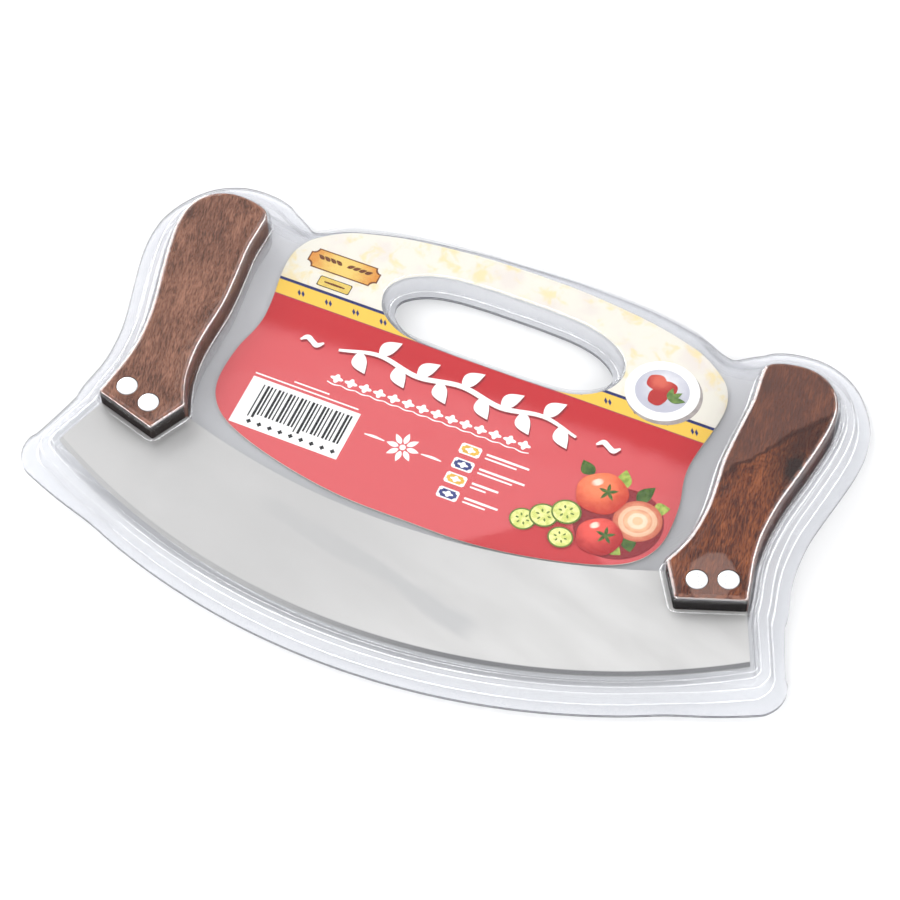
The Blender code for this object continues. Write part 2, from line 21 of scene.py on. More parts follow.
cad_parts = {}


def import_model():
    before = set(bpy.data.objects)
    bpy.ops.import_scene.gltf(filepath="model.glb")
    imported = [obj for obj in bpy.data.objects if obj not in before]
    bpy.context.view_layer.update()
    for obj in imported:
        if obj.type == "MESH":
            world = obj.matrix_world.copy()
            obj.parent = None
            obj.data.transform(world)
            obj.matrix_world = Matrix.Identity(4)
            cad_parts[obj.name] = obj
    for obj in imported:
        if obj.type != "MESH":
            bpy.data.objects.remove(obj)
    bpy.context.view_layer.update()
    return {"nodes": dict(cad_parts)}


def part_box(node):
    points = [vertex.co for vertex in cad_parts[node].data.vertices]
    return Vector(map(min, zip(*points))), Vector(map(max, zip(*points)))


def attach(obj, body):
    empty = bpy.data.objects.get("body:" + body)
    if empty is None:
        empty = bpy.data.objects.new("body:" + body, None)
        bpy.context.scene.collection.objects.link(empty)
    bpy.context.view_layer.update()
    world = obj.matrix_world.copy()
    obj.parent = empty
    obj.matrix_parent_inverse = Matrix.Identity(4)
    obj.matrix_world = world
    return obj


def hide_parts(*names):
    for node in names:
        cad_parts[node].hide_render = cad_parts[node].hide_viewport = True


MM = 0.001
SAME_LEVEL = 1e-6
LOG = logging.getLogger("rocking_knife")

Colour = tuple[float, float, float]


class Side(Enum):
    """The two ends of the knife."""

    LEFT = -1
    RIGHT = 1

    @property
    def word(self) -> str:
        """Return the side's word in the CAD node names."""
        return self.name.lower()


class Shell(Enum):
    """The two halves of the pack."""

    FRONT = "front_shell"
    BACK = "back_shell"


class Edge(Enum):
    """How one end of a sheet's profile ends."""

    CUT_OUTSIDE = 1
    CUT_INSIDE = 2
    CLOSED = 3


def ink(red: int, green: int, blue: int) -> Colour:
    """Return a screen colour of 0 to 255 as linear light.

    Args:
        red, green, blue: The screen values.

    Returns:
        Each value by the screen's curve, ((c + 0.055) / 1.055) ** 2.4 above its straight foot.
    """
    share = np.array((red, green, blue)) / 255
    light = np.where(share > 0.04045, ((share + 0.055) / 1.055) ** 2.4, share / 12.92)
    return tuple(float(v) for v in light)


def rotated(points: np.ndarray, turn: float, x: float = 0.0, y: float = 0.0) -> np.ndarray:
    """Return plan points turned about the origin and then moved."""
    cos, sin = math.cos(turn), math.sin(turn)
    return points @ np.array(((cos, sin), (-sin, cos))) + (x, y)


def smooth(keys: Sequence, steps: int, closed: bool = False) -> np.ndarray:
    """Return points on a smooth curve through keys of any number of values.

    A span from a to b of length L is the cubic h0 a + h1 L a' + h2 b + h3 L b', and a key's slope
    is the way from the key before it to the key after it over the length between them.

    Args:
        keys: The keys, whose first two values are their place.
        steps: Points for each span.
        closed: True if the last key is followed by the first.

    Returns:
        The points, one row each.
    """
    keys = np.asarray(keys, float)
    if closed:
        before, after = np.roll(keys, 1, 0), np.roll(keys, -1, 0)
        ends = after
    else:
        before, after = np.vstack([keys[:1], keys[:-1]]), np.vstack([keys[1:], keys[-1:]])
        ends = keys[1:]
    reach = np.linalg.norm((after - keys)[:, :2], axis=1)
    slopes = (after - before) / (reach + np.linalg.norm((keys - before)[:, :2], axis=1))[:, None]
    count = len(ends)
    far = np.roll(slopes, -1, 0)[:count, None]
    span = reach[:count, None, None]
    t = (np.arange(steps) / steps)[None, :, None]
    points = ((2 * t**3 - 3 * t**2 + 1) * keys[:count, None] + (t**3 - 2 * t**2 + t) * span
              * slopes[:count, None] + (3 * t**2 - 2 * t**3) * ends[:, None]
              + (t**3 - t**2) * span * far).reshape(-1, keys.shape[1])
    return points if closed else np.vstack([points, keys[-1:]])


def block(left: float, low: float, right: float, high: float) -> np.ndarray:
    """Return a rectangle's outline."""
    return np.array([(left, low), (right, low), (right, high), (left, high)])


def mirrored(half: np.ndarray) -> np.ndarray:
    """Return a closed loop from its right half, which runs from the plane back to the plane."""
    other = half[-2:0:-1].copy()
    other[:, 0] *= -1
    return np.vstack([half, other])


def offset(loop: np.ndarray, distance: float | np.ndarray) -> np.ndarray:
    """Return an anticlockwise loop moved outward.

    With a and b the directions of the sides before and after a point, the point moves by
    (a + b turned to the right) / (1 + a.b), which moves both sides by one.

    Args:
        loop: The points, one row each.
        distance: How far, for all points or for each.

    Returns:
        The moved points.
    """
    plan = loop[:, :2]
    after = np.roll(plan, -1, 0) - plan
    after /= np.linalg.norm(after, axis=1)[:, None]
    before = np.roll(after, 1, 0)
    both = before + after
    out = np.stack([both[:, 1], -both[:, 0]], 1) / (1 + (before * after).sum(1))[:, None]
    return plan + out * np.broadcast_to(distance, len(plan))[:, None]


def corner(before: np.ndarray, at: np.ndarray, after: np.ndarray, reach: float,
           steps: int, most: tuple[float, float] = (0.48, 0.48)) -> np.ndarray:
    """Return a rounded corner, the curve (1-t)^2 a + 2t(1-t) c + t^2 b.

    Args:
        before, at, after: The points before, at and after the corner, each a row or rows.
        reach: How far from the corner the curve starts and ends.
        steps: Spans of the curve.
        most: The largest share of each side that the curve takes.

    Returns:
        An array whose first axis runs along the curve.
    """
    def toward(other: np.ndarray, share: float) -> np.ndarray:
        """Return the point at the reach from the corner towards another point."""
        way = other - at
        length = np.linalg.norm(way, axis=-1, keepdims=True)
        return at + way * np.minimum(reach / length, share)

    t = (np.arange(steps + 1) / steps).reshape((-1,) + (1,) * np.ndim(at))
    return ((1 - t) ** 2 * toward(before, most[0]) + 2 * t * (1 - t) * at
            + t**2 * toward(after, most[1]))


def lifted(loop: np.ndarray, height: float) -> np.ndarray:
    """Return a plan loop as points at one height."""
    return np.column_stack([loop[:, :2], np.full(len(loop), height)])


def carried(rings: Sequence[np.ndarray], reaches: Sequence[float], steps: int = 5) -> np.ndarray:
    """Return a profile carried round a path, its inner corners rounded.

    Ring k is the path of the profile's corner k; each corner but the first and last becomes the
    curve of corner(), point by point of the path.  The profile's two end sides have one rounded
    corner each, which may take nearly all of them.

    Args:
        rings: The corner paths, of one count, as rows of x, y, z.
        reaches: The rounding's reach at each corner between the first and the last.
        steps: Spans of each rounding.

    Returns:
        A grid of points: profile, path, x y z.
    """
    rows = [rings[0][None]]
    for k, reach in enumerate(reaches, 1):
        most = (0.9 if k == 1 else 0.48, 0.9 if k == len(reaches) else 0.48)
        rows.append(corner(rings[k - 1], rings[k], rings[k + 1], reach, steps, most))
    rows.append(rings[-1][None])
    return np.concatenate(rows)


def placed(name: str, data: bpy.types.ID) -> bpy.types.Object:
    """Return a new object of the scene that shows some data."""
    made = bpy.data.objects.new(name, data)
    bpy.context.scene.collection.objects.link(made)
    return made


@contextmanager
def editing(data: bpy.types.Mesh) -> Iterator[bmesh.types.BMesh]:
    """Lend a mesh for editing and write the changes back."""
    work = bmesh.new()
    work.from_mesh(data)
    yield work
    work.to_mesh(data)
    work.free()


class Form:
    """Vertices and faces gathered for one mesh."""

    def __init__(self) -> None:
        """Start empty."""
        self.points: list[np.ndarray] = []
        self.faces: list[list[int]] = []
        self.slots: list[int] = []
        self.count = 0

    def add(self, points: np.ndarray, faces: Sequence, slot: int = 0) -> int:
        """Add points with faces among them.

        Args:
            points: The points, one row each.
            faces: Lists of indices into these points.
            slot: The material slot of the faces.

        Returns:
            The index of the first new point.
        """
        first = self.count
        self.points.append(np.asarray(points, float))
        self.faces += [[first + int(i) for i in face] for face in faces]
        self.slots += [slot] * len(faces)
        self.count += len(points)
        return first

    def grid(self, grid: np.ndarray, slot: int = 0) -> None:
        """Add a grid that is closed along its second axis.

        Face (r, c) joins rows r and r+1 at columns c and c+1; it looks up where a lower row lies
        inside a higher one and the columns run anticlockwise.
        """
        rows, columns = grid.shape[:2]
        r, c = np.meshgrid(np.arange(rows - 1), np.arange(columns), indexing="ij")
        n = (c + 1) % columns
        faces = np.stack([r * columns + c, (r + 1) * columns + c, (r + 1) * columns + n,
                          r * columns + n], -1).reshape(-1, 4)
        self.add(grid.reshape(-1, 3), faces.tolist(), slot)

    def cap(self, ring: np.ndarray, up: bool, slot: int = 0) -> None:
        """Add one flat face inside an anticlockwise ring, looking up or down."""
        order = range(len(ring)) if up else range(len(ring) - 1, -1, -1)
        self.add(ring, [list(order)], slot)

    def slab(self, loop: np.ndarray, low: float, high: float, slot: int = 0) -> None:
        """Add a flat plate with an anticlockwise outline."""
        rings = np.stack([lifted(loop, high), lifted(loop, low)])
        self.cap(rings[0], True, slot)
        self.cap(rings[1], False, slot)
        self.grid(rings, slot)

    def build(self, name: str, finishes: Sequence[bpy.types.Material], merge: float = 1e-6,
              angle: float = 40.0) -> bpy.types.Object:
        """Make the object.

        Args:
            name: The piece's name.
            finishes: Its materials, by slot.
            merge: Points nearer than this become one.
            angle: Edges sharper than this many degrees stay sharp.

        Returns:
            The new object.
        """
        data = bpy.data.meshes.new(name)
        data.from_pydata(np.concatenate(self.points).tolist(), [], self.faces)
        for finish in finishes:
            data.materials.append(finish)
        data.polygons.foreach_set("material_index", self.slots)
        with editing(data) as work:
            bmesh.ops.remove_doubles(work, verts=work.verts, dist=merge)
        made = placed(name, data)
        shade(made, angle)
        return made


def shade(piece: bpy.types.Object, angle: float) -> None:
    """Shade a piece smooth but for its edges sharper than an angle in degrees."""
    data = piece.data
    data.polygons.foreach_set("use_smooth", [True] * len(data.polygons))
    limit = math.radians(angle)
    with editing(data) as work:
        for edge in work.edges:
            edge.smooth = len(edge.link_faces) == 2 and edge.calc_face_angle(0.0) < limit


def fill_level(piece: bpy.types.Object, height: float, up: bool = True) -> None:
    """Fill the flat between a piece's open edges at one height, looking up or down."""
    with editing(piece.data) as work:
        rim = [edge for edge in work.edges if edge.is_boundary
               and all(abs(vert.co.z - height) < SAME_LEVEL for vert in edge.verts)]
        made = bmesh.ops.triangle_fill(work, use_beauty=True, use_dissolve=False, edges=rim,
                                       normal=(0.0, 0.0, 1.0))
        for face in (f for f in made["geom"] if isinstance(f, bmesh.types.BMFace)):
            face.smooth = True
            face.normal_update()
            if (face.normal.z > 0) is not up:
                face.normal_flip()


def turned(profile: Sequence[tuple[float, float]], x: float, y: float,
           segments: int = 96) -> np.ndarray:
    """Return a profile of (radius, height) spun about an upright axis.

    Column c of row r is (x + r_r cos c, y + r_r sin c, h_r).
    """
    profile = np.asarray(profile, float)
    angle = np.arange(segments) * 2 * np.pi / segments
    ring = np.stack([np.cos(angle), np.sin(angle)], -1)[None] * profile[:, :1, None]
    heights = np.broadcast_to(profile[:, 1:, None], ring[..., :1].shape)
    return np.concatenate([ring + (x, y), heights], -1)


class Signal:
    """A number in a node tree; Python's operators on it add Math nodes."""

    def __init__(self, paint: "Paint", socket: bpy.types.NodeSocket) -> None:
        """Wrap a socket of a paint's tree."""
        self.paint = paint
        self.socket = socket

    def _do(self, operation: str, *values: Any) -> "Signal":
        """Return the result of one Math node."""
        made = self.paint.node("ShaderNodeMath", {"operation": operation},
                               dict(enumerate(values)))
        return Signal(self.paint, made.outputs[0])

    def __add__(self, other: Any) -> "Signal":
        """Return self + other."""
        return self._do("ADD", self, other)

    def __sub__(self, other: Any) -> "Signal":
        """Return self - other."""
        return self._do("SUBTRACT", self, other)

    def __rsub__(self, other: Any) -> "Signal":
        """Return other - self."""
        return self._do("SUBTRACT", other, self)

    def __mul__(self, other: Any) -> "Signal":
        """Return self * other."""
        return self._do("MULTIPLY", self, other)

    def __truediv__(self, other: Any) -> "Signal":
        """Return self / other."""
        return self._do("DIVIDE", self, other)

    def __pow__(self, other: Any) -> "Signal":
        """Return self to a power."""
        return self._do("POWER", self, other)

    __radd__ = __add__
    __rmul__ = __mul__

    def size(self) -> "Signal":
        """Return the value without its sign."""
        return self._do("ABSOLUTE", self)

    def repeat(self, period: float) -> "Signal":
        """Return the distance to the nearest whole multiple of a period."""
        return self._do("PINGPONG", self, period / 2)

    def step(self, low: float, high: float) -> "Signal":
        """Return 0 below low to 1 above high, eased; low may be the larger."""
        made = self.paint.node("ShaderNodeMapRange", {"interpolation_type": "SMOOTHSTEP"},
                               {"Value": self, "From Min": low, "From Max": high})
        return Signal(self.paint, made.outputs[0])

    def band(self, low: float, high: float, soft: float) -> "Signal":
        """Return 1 between two values, with soft ends."""
        return self.step(low - soft, low + soft) * self.step(high + soft, high - soft)


class Paint:
    """One finish's node tree."""

    def __init__(self, name: str) -> None:
        """Start a material with an empty tree."""
        self.material = bpy.data.materials.new(name)
        self.material.use_nodes = True
        self.tree = self.material.node_tree
        self.tree.nodes.clear()

    def node(self, kind: str, settings: dict[str, Any] | None = None,
             sockets: dict[str | int, Any] | None = None) -> bpy.types.Node:
        """Add a node.

        Args:
            kind: The node's type.
            settings: Its properties, set first; "stops" are a ramp's (place, colour) pairs.
            sockets: Values, sockets or signals by the socket's name or number.

        Returns:
            The node.
        """
        made = self.tree.nodes.new(kind)
        for key, value in (settings or {}).items():
            if key == "stops":
                elements = made.color_ramp.elements
                while len(elements) < len(value):
                    elements.new(1.0)
                for element, (place, colour) in zip(elements, value):
                    element.position = place
                    element.color = (*colour, 1.0)
            else:
                setattr(made, key, value)
        for key, value in (sockets or {}).items():
            value = value.socket if isinstance(value, Signal) else value
            if isinstance(value, bpy.types.NodeSocket):
                self.tree.links.new(value, made.inputs[key])
            elif isinstance(value, tuple) and made.inputs[key].type == "RGBA":
                made.inputs[key].default_value = (*value, 1.0)
            else:
                made.inputs[key].default_value = value
        return made

    def place(self, centre: Sequence[float] = (0, 0, 0), turn: float = 0.0,
              unit: Sequence[float] = (MM, MM, MM)) -> bpy.types.NodeSocket:
        """Return Object coordinates from a centre, turned about Z, in a unit for each axis."""
        coordinates = self.node("ShaderNodeTexCoord").outputs["Object"]
        return self.node("ShaderNodeMapping", {"vector_type": "TEXTURE"},
                         {"Vector": coordinates, "Location": tuple(centre),
                          "Rotation": (0.0, 0.0, turn), "Scale": tuple(unit)}).outputs[0]

    def parts(self, vector: bpy.types.NodeSocket) -> list[Signal]:
        """Return a vector's x, y and z."""
        made = self.node("ShaderNodeSeparateXYZ", None, {0: vector})
        return [Signal(self, out) for out in made.outputs]

    def normal(self) -> list[Signal]:
        """Return the x, y and z of the surface's normal."""
        return self.parts(self.node("ShaderNodeNewGeometry").outputs["Normal"])

    def noise(self, vector: bpy.types.NodeSocket, scale: float, detail: float = 2.0,
              roughness: float = 0.5, distortion: float = 0.0) -> Signal:
        """Return a noise of 0 to 1."""
        made = self.node("ShaderNodeTexNoise", None,
                         {"Vector": vector, "Scale": scale, "Detail": detail,
                          "Roughness": roughness, "Distortion": distortion})
        return Signal(self, made.outputs[0])

    def attribute(self, name: str) -> Signal:
        """Return a number kept on the mesh."""
        return Signal(self, self.node("ShaderNodeAttribute", {"attribute_name": name})
                      .outputs["Fac"])

    def ramp(self, value: Signal, *stops: tuple[float, Colour]) -> bpy.types.NodeSocket:
        """Return a colour by a value's place between stops."""
        return self.node("ShaderNodeValToRGB", {"stops": stops}, {0: value}).outputs[0]

    def mix(self, share: Any, under: Any, over: Any, how: str = "MIX") -> bpy.types.NodeSocket:
        """Return one colour laid over another by a share."""
        made = self.node("ShaderNodeMix", {"data_type": "RGBA", "blend_type": how},
                         {"Factor": share, 6: under, 7: over})
        return made.outputs[2]

    def blend(self, share: Any, under: bpy.types.NodeSocket,
              over: bpy.types.NodeSocket) -> bpy.types.NodeSocket:
        """Return one shader laid over another by a share."""
        return self.node("ShaderNodeMixShader", None, {0: share, 1: under, 2: over}).outputs[0]

    def bump(self, height: Signal, depth: float, strength: float = 1.0) -> bpy.types.NodeSocket:
        """Return a normal raised by a height of 0 to 1 over a depth in metres."""
        return self.node("ShaderNodeBump", None, {"Height": height, "Distance": depth,
                                                  "Strength": strength}).outputs[0]

    def principled(self, **sockets: Any) -> bpy.types.NodeSocket:
        """Return a Principled shader; underscores in a socket's name stand for spaces."""
        named = {key.replace("_", " "): value for key, value in sockets.items()}
        return self.node("ShaderNodeBsdfPrincipled", None, named).outputs[0]

    def show(self, shader: bpy.types.NodeSocket) -> bpy.types.Material:
        """Finish the tree with a shader and return the material."""
        self.node("ShaderNodeOutputMaterial", None, {"Surface": shader})
        return self.material


@dataclass(frozen=True)
class Wood:
    """Oiled hardwood with its grain along the handle."""

    name: str
    centre: Sequence[float]
    turn: float
    dark: Colour
    middle: Colour
    light: Colour
    worn: Colour = ink(160, 106, 82)
    # The foot colour is painted shade, laid on the forward faces at the foot.
    foot: Colour = ink(14, 10, 10)
    knot: bool = False

    FIBRE = (0.50 * MM, 3.4 * MM, MM)
    STREAK = (2.0 * MM, 12 * MM, 3 * MM)
    LEAN = 0.16
    BOARD_SLOPE = 1.50
    BOARD_LINE = 64.0
    # The grey below is a painted reflection on the second handle.
    REFLECTION_GREY = ink(94, 66, 58)
    KNOT_AT = (8.9, 51.4)
    KNOT_HEART = ink(26, 12, 10)
    PATCH_LEFT = 0.8
    PATCH_RISE = 1.0
    PATCH_TONE = ink(146, 116, 106)

    def material(self) -> bpy.types.Material:
        """Return the finish: short fibres, broad streaks, worn edges, painted shade on the side
        faces and a near-black painted shade on the foot's forward faces.
        """
        paint = Paint(self.name)
        flow = paint.place(self.centre, self.turn)
        x, y, _ = paint.parts(flow)
        grain = paint.place(self.centre, self.turn + self.LEAN, self.FIBRE)
        fibres = paint.noise(grain, 1.0, 3.0, 0.7, 1.1)
        streaks = paint.noise(paint.place(self.centre, self.turn, self.STREAK),
                              1.0, 2.0, 0.5, 0.9)
        clouds = paint.noise(flow, 0.075, 3.0, 0.5, 0.5)
        tone = fibres * 0.62 + streaks * 0.14 + clouds * 0.24
        colour = paint.ramp(tone, (0.40, self.dark), (0.50, self.middle), (0.60, self.light))
        if self.knot:
            colour = self.board(paint, colour, x, y, flow)
        wear = paint.attribute("wear") * paint.noise(flow, 0.45, 3.0).step(0.42, 0.62) * 0.85
        colour = paint.mix(wear, colour, self.worn)
        _, ny, nz = paint.normal()
        # Painted shade: the side faces are darkened towards the dark wood.
        side = (1 - nz.size()).step(0.25, 0.75)
        colour = paint.mix(side * 0.45, colour, self.dark)
        # Painted shade: faces near the foot that look forward take the near-black foot colour.
        foot = ny.step(-0.30, -0.48) * y.step(10.0, 5.0) * side
        oiled = paint.principled(
            Base_Color=colour, Roughness=0.50 - fibres * 0.12, Specular_IOR_Level=0.15,
            Normal=paint.bump(fibres, 0.00003, 0.3))
        foot_shade = paint.principled(Base_Color=self.foot, Roughness=0.6, Specular_IOR_Level=0.0)
        return paint.show(paint.blend(foot, oiled, foot_shade))

    def board(self, paint: Paint, colour: bpy.types.NodeSocket, x: Signal, y: Signal,
              flow: bpy.types.NodeSocket) -> bpy.types.NodeSocket:
        """Return the colour of the second handle's board: a greyer painted reflection beyond a wavy
        aslant line, darker bands along that line, a knot and a lighter patch near the foot.
        """
        across = y - x * self.BOARD_SLOPE + paint.noise(flow, 0.10, 2.0) * 14.0
        line = self.BOARD_LINE
        shade_right = across.band(line - 12.0, line, 3.0) * x.step(0.0, 7.0)
        colour = paint.mix(shade_right * 0.55, colour, self.dark)
        # Painted reflection: beyond the line the wood turns greyer.
        colour = paint.mix(across.step(line, line + 2.0) * 0.55, colour, self.REFLECTION_GREY)
        colour = paint.mix(across.band(line - 1.4, line + 1.0, 0.8) * 0.75, colour, self.dark)
        rough = paint.noise(flow, 0.9, 2.0).step(0.50, 0.62)
        colour = paint.mix(rough * across.band(line - 10.0, line - 2.0, 3.0) * 0.45, colour,
                           self.dark)
        dx, dy = (x - self.KNOT_AT[0]) * 0.16, (y - self.KNOT_AT[1]) * 0.095
        reach = (dx * dx + dy * dy) ** 0.5
        rings = (reach * 7.0 + paint.noise(flow, 0.2, 2.0) * 2.2).repeat(1.0)
        colour = paint.mix(reach.step(2.0, 0.5) * (rings * 0.9 + 0.35), colour, self.dark)
        colour = paint.mix((reach + paint.noise(flow, 0.3, 2.0) * 0.6).step(1.0, 0.6) * 0.9,
                           colour, self.KNOT_HEART)
        px, py = (x + self.PATCH_LEFT) * 0.115, (y - self.PATCH_RISE) * 0.10
        patch = (px * px + py * py) ** 0.5 + paint.noise(flow, 0.2, 2.0) * 0.3
        return paint.mix(patch.step(1.10, 1.00) * 0.42, colour, self.PATCH_TONE)


@dataclass(frozen=True)
class Steel:
    """Fine-ground stainless blade with soft grey clouds and a painted reflection band along it."""

    centre: Sequence[float]
    radius: float

    CLOUD = (34 * MM, 9 * MM, MM)
    CLOUD_TURN = -0.27
    MARK = (0.3 * MM, 7 * MM, MM)
    MARK_TURN = 1.3
    BAND_AT = (0, -0.05402, 0)
    BAND_TURN = -0.268
    # Painted reflection: the grey of a soft band along the blade.
    BAND_GREY = ink(178, 178, 178)
    LOW_GREY = ink(191, 190, 188)
    HIGH_GREY = ink(202, 201, 199)
    SHADE = ink(170, 169, 168)
    # Painted reflection: the dark colour along the cutting edge.
    RIM = ink(92, 93, 96)

    def material(self) -> bpy.types.Material:
        """Return the finish: cloudy satin, a painted reflection band, painted shade towards the
        left, a dark painted reflection along the edge, grinding marks that cross the edge.
        """
        paint = Paint("blade_steel")
        x, y, _ = paint.parts(paint.place(self.centre))
        inset = self.radius / MM - (x * x + y * y) ** 0.5
        origin = (0, 0, 0)
        clouds = paint.noise(paint.place(origin, self.CLOUD_TURN, self.CLOUD), 1.0, 2.0, 0.45)
        marks = paint.noise(paint.place(origin, self.MARK_TURN, self.MARK), 1.0, 2.0)
        px, py, _ = paint.parts(paint.place(self.BAND_AT, self.BAND_TURN))
        # Painted reflection: a soft grey band along the blade.
        reflection_band = (py + (clouds - 0.5) * 10.0).band(-3.5, 3.5, 1.5) * px.band(-50.0, 36.0, 5.0)
        edge = inset.step(8.0, 2.0)
        tone = paint.ramp(clouds, (0.30, self.LOW_GREY), (0.66, self.HIGH_GREY))
        tone = paint.mix(reflection_band * 0.9, tone, self.BAND_GREY)
        tone = paint.mix(px.step(70.0, -50.0) * 0.75, tone, self.SHADE)
        # Painted reflection: a dark line along the cutting edge, stronger to the right.
        rim = inset.band(0.0, 1.6, 0.25) * (x.step(-60.0, 40.0) * 0.6 + 0.3)
        tone = paint.mix(rim, tone, self.RIM)
        rough = 0.46 - clouds * 0.04 + edge * marks * 0.05
        return paint.show(paint.principled(
            Base_Color=tone, Metallic=0.40, Roughness=rough,
            Normal=paint.bump(marks * (edge * 0.7 + 0.3), 0.00001, 0.3)))


@dataclass(frozen=True)
class RivetMetal:
    """Polished rivet heads with fine turning marks."""

    low: Colour = ink(238, 238, 239)
    high: Colour = ink(252, 252, 252)
    grain: tuple[float, float, float] = (0.4 * MM, 0.4 * MM, MM)

    def material(self) -> bpy.types.Material:
        """Return the finish."""
        paint = Paint("rivet_metal")
        marks = paint.noise(paint.place(unit=self.grain), 1.0, 3.0)
        return paint.show(paint.principled(
            Base_Color=paint.ramp(marks, (0.3, self.low), (0.7, self.high)),
            Metallic=0.65, Roughness=0.24 + marks * 0.1))


@dataclass(frozen=True)
class ClearSheet:
    """Thin clear thermoformed sheet, a little wavy and faintly milky, with a greyer cut edge."""

    name: str
    haze: float = 0.16
    haze_top: float = 8.6
    tint: Colour = (0.985, 0.986, 0.989)
    least: float = 0.028
    rise: float = 0.20
    dark: float = 0.60

    MIRROR = (0.97, 0.975, 0.98)
    MILK = (0.93, 0.94, 0.97)
    SHADOW = (0.02, 0.02, 0.03)
    ON_WALLS = 0.2
    ON_FILLETS = 2.3
    OFF_FLATS = 2.0

    def material(self) -> bpy.types.Material:
        """Return the finish: see-through, with a mirror share (m + r (1 - cos)^5) f.

        The factor f is least on the walls, most on the fillets and small again on the flats.  Where
        the sheet turns away from the eye, its thickness darkens it by d (1 - cos)^6.
        """
        paint = Paint(self.name)
        waves = paint.noise(paint.place(), 0.035, 2.0, 0.5)
        ripple = paint.noise(paint.place(), 0.22, 2.0, 0.5)
        normal = paint.bump(waves * 0.95 + ripple * 0.05, 0.0005, 0.6)
        gloss = paint.principled(Base_Color=self.MIRROR, Metallic=1.0, Normal=normal,
                                 Roughness=0.04 + ripple * 0.04)
        milk = paint.principled(Base_Color=self.MILK, Roughness=0.6, Specular_IOR_Level=0.0)
        through = paint.node("ShaderNodeBsdfTransparent", None, {0: self.tint}).outputs[0]
        facing = Signal(paint, paint.node("ShaderNodeLayerWeight", None,
                                          {"Blend": 0.5, "Normal": normal}).outputs["Facing"])
        _, _, level = paint.normal()
        flat = level.size()
        form = (flat.step(0.0, 0.6) * self.ON_FILLETS + self.ON_WALLS
                - flat.step(0.95, 0.99) * self.OFF_FLATS)
        mirror = (facing ** 5 * self.rise + self.least) * form
        _, _, height = paint.parts(paint.place())
        share = height.step(self.haze_top + 0.3, self.haze_top - 0.3) * self.haze + 0.001
        body = paint.blend(share, through, milk)
        shadow = paint.principled(Base_Color=self.SHADOW, Roughness=0.5, Specular_IOR_Level=0.0)
        body = paint.blend(facing ** 6 * self.dark, body, shadow)
        return paint.show(paint.blend(mirror, body, gloss))


@dataclass(frozen=True)
class Ink:
    """One printed colour with a faint grain, shaded from its middle out where it has one."""

    name: str
    colour: Colour
    other: Colour
    centre: tuple[float, float, float] | None = None
    spread: float = 10.0

    def material(self) -> bpy.types.Material:
        """Return the finish: the share of the other colour grows with distance and grain."""
        paint = Paint(self.name)
        grain = paint.noise(paint.place(), 0.45, 3.0, 0.6)
        if self.centre is None:
            share = grain.step(0.35, 0.65)
        else:
            x, y, _ = paint.parts(paint.place(self.centre))
            share = (((x * x + y * y) ** 0.5) / self.spread + (grain - 0.5) * 0.5).step(0.2, 1.0)
        return paint.show(paint.principled(
            Base_Color=paint.mix(share, self.colour, self.other), Roughness=0.45,
            Specular_IOR_Level=0.2))


@dataclass(frozen=True)
class CardPrint:
    """The printed face of the insert card: red field under a painted reflection, stripe and mottled
    cream.
    """

    pivot: Sequence[float]
    turn: float
    # The red is the field lightened by a painted reflection; the deep red is the field where none is
    # painted.
    red: Colour = ink(202, 84, 88)
    deep_red: Colour = ink(182, 36, 42)
    cream: Colour = ink(222, 218, 206)
    ochre: Colour = ink(224, 206, 152)
    peach: Colour = ink(216, 206, 200)
    blue: Colour = ink(26, 36, 96)
    yellow: Colour = ink(226, 186, 74)
    rule: Colour = ink(112, 70, 96)
    board: Colour = ink(236, 232, 222)
    stripe: tuple[float, float, float] = (68.6, 74.6, 75.8)
    mark_step: float = 10.7
    mark_start: float = 8.6
    mark_half: float = 0.75

    def material(self) -> bpy.types.Material:
        """Return the finish, its bands by the height above the card's lower edge; a painted
        reflection lightens the red field but at its top and its lower right.
        """
        paint = Paint("card_print")
        mm = paint.place(self.pivot, self.turn)
        x, y, _ = paint.parts(mm)
        blots = paint.noise(mm, 0.14, 4.0, 0.62, 0.4)
        warm = paint.noise(paint.place(self.pivot, self.turn + 1.0), 0.07, 3.0, 0.6)
        cream = paint.mix(warm.step(0.46, 0.66) * 0.7, self.cream, self.peach)
        cream = paint.mix(blots.step(0.50, 0.68) * 0.8, cream, self.ochre)
        # Painted reflection: the red stays lighter but at the top and the lower right corner.
        unveiled = (y - x * 0.02 + (warm - 0.5) * 6.0).step(50.0, 62.0)
        unveiled_corner = (y + x * 0.55).step(50.0, 47.0) * (y - x * 0.80).step(-14.0, -19.0)
        red = paint.mix((unveiled + unveiled_corner * 0.7).step(0.0, 1.0), self.red, self.deep_red)
        low, high, top = self.stripe
        colour = paint.mix(y.step(low - 0.1, low + 0.1), red, self.yellow)
        lean = x + (y - (low + high) / 2) * 0.45
        pair = ((lean + self.mark_start).repeat(self.mark_step) - self.mark_half).size()
        marks = (pair + (y - (low + high) / 2).size() * 0.5).step(self.mark_half, 0.55)
        colour = paint.mix(marks * y.band(low, high, 0.1), colour, self.blue)
        colour = paint.mix(y.step(high - 0.1, high + 0.1), colour, self.blue)
        colour = paint.mix(y.step(top - 0.1, top + 0.1), colour, cream)
        colour = paint.mix(y.band(low - 0.35, low, 0.08) * 0.6, colour, self.rule)
        _, _, nz = paint.normal()
        colour = paint.mix(nz.step(0.9, 0.6), colour, self.board)
        return paint.show(paint.principled(Base_Color=colour, Roughness=0.40 + blots * 0.08,
                                           Specular_IOR_Level=0.2))


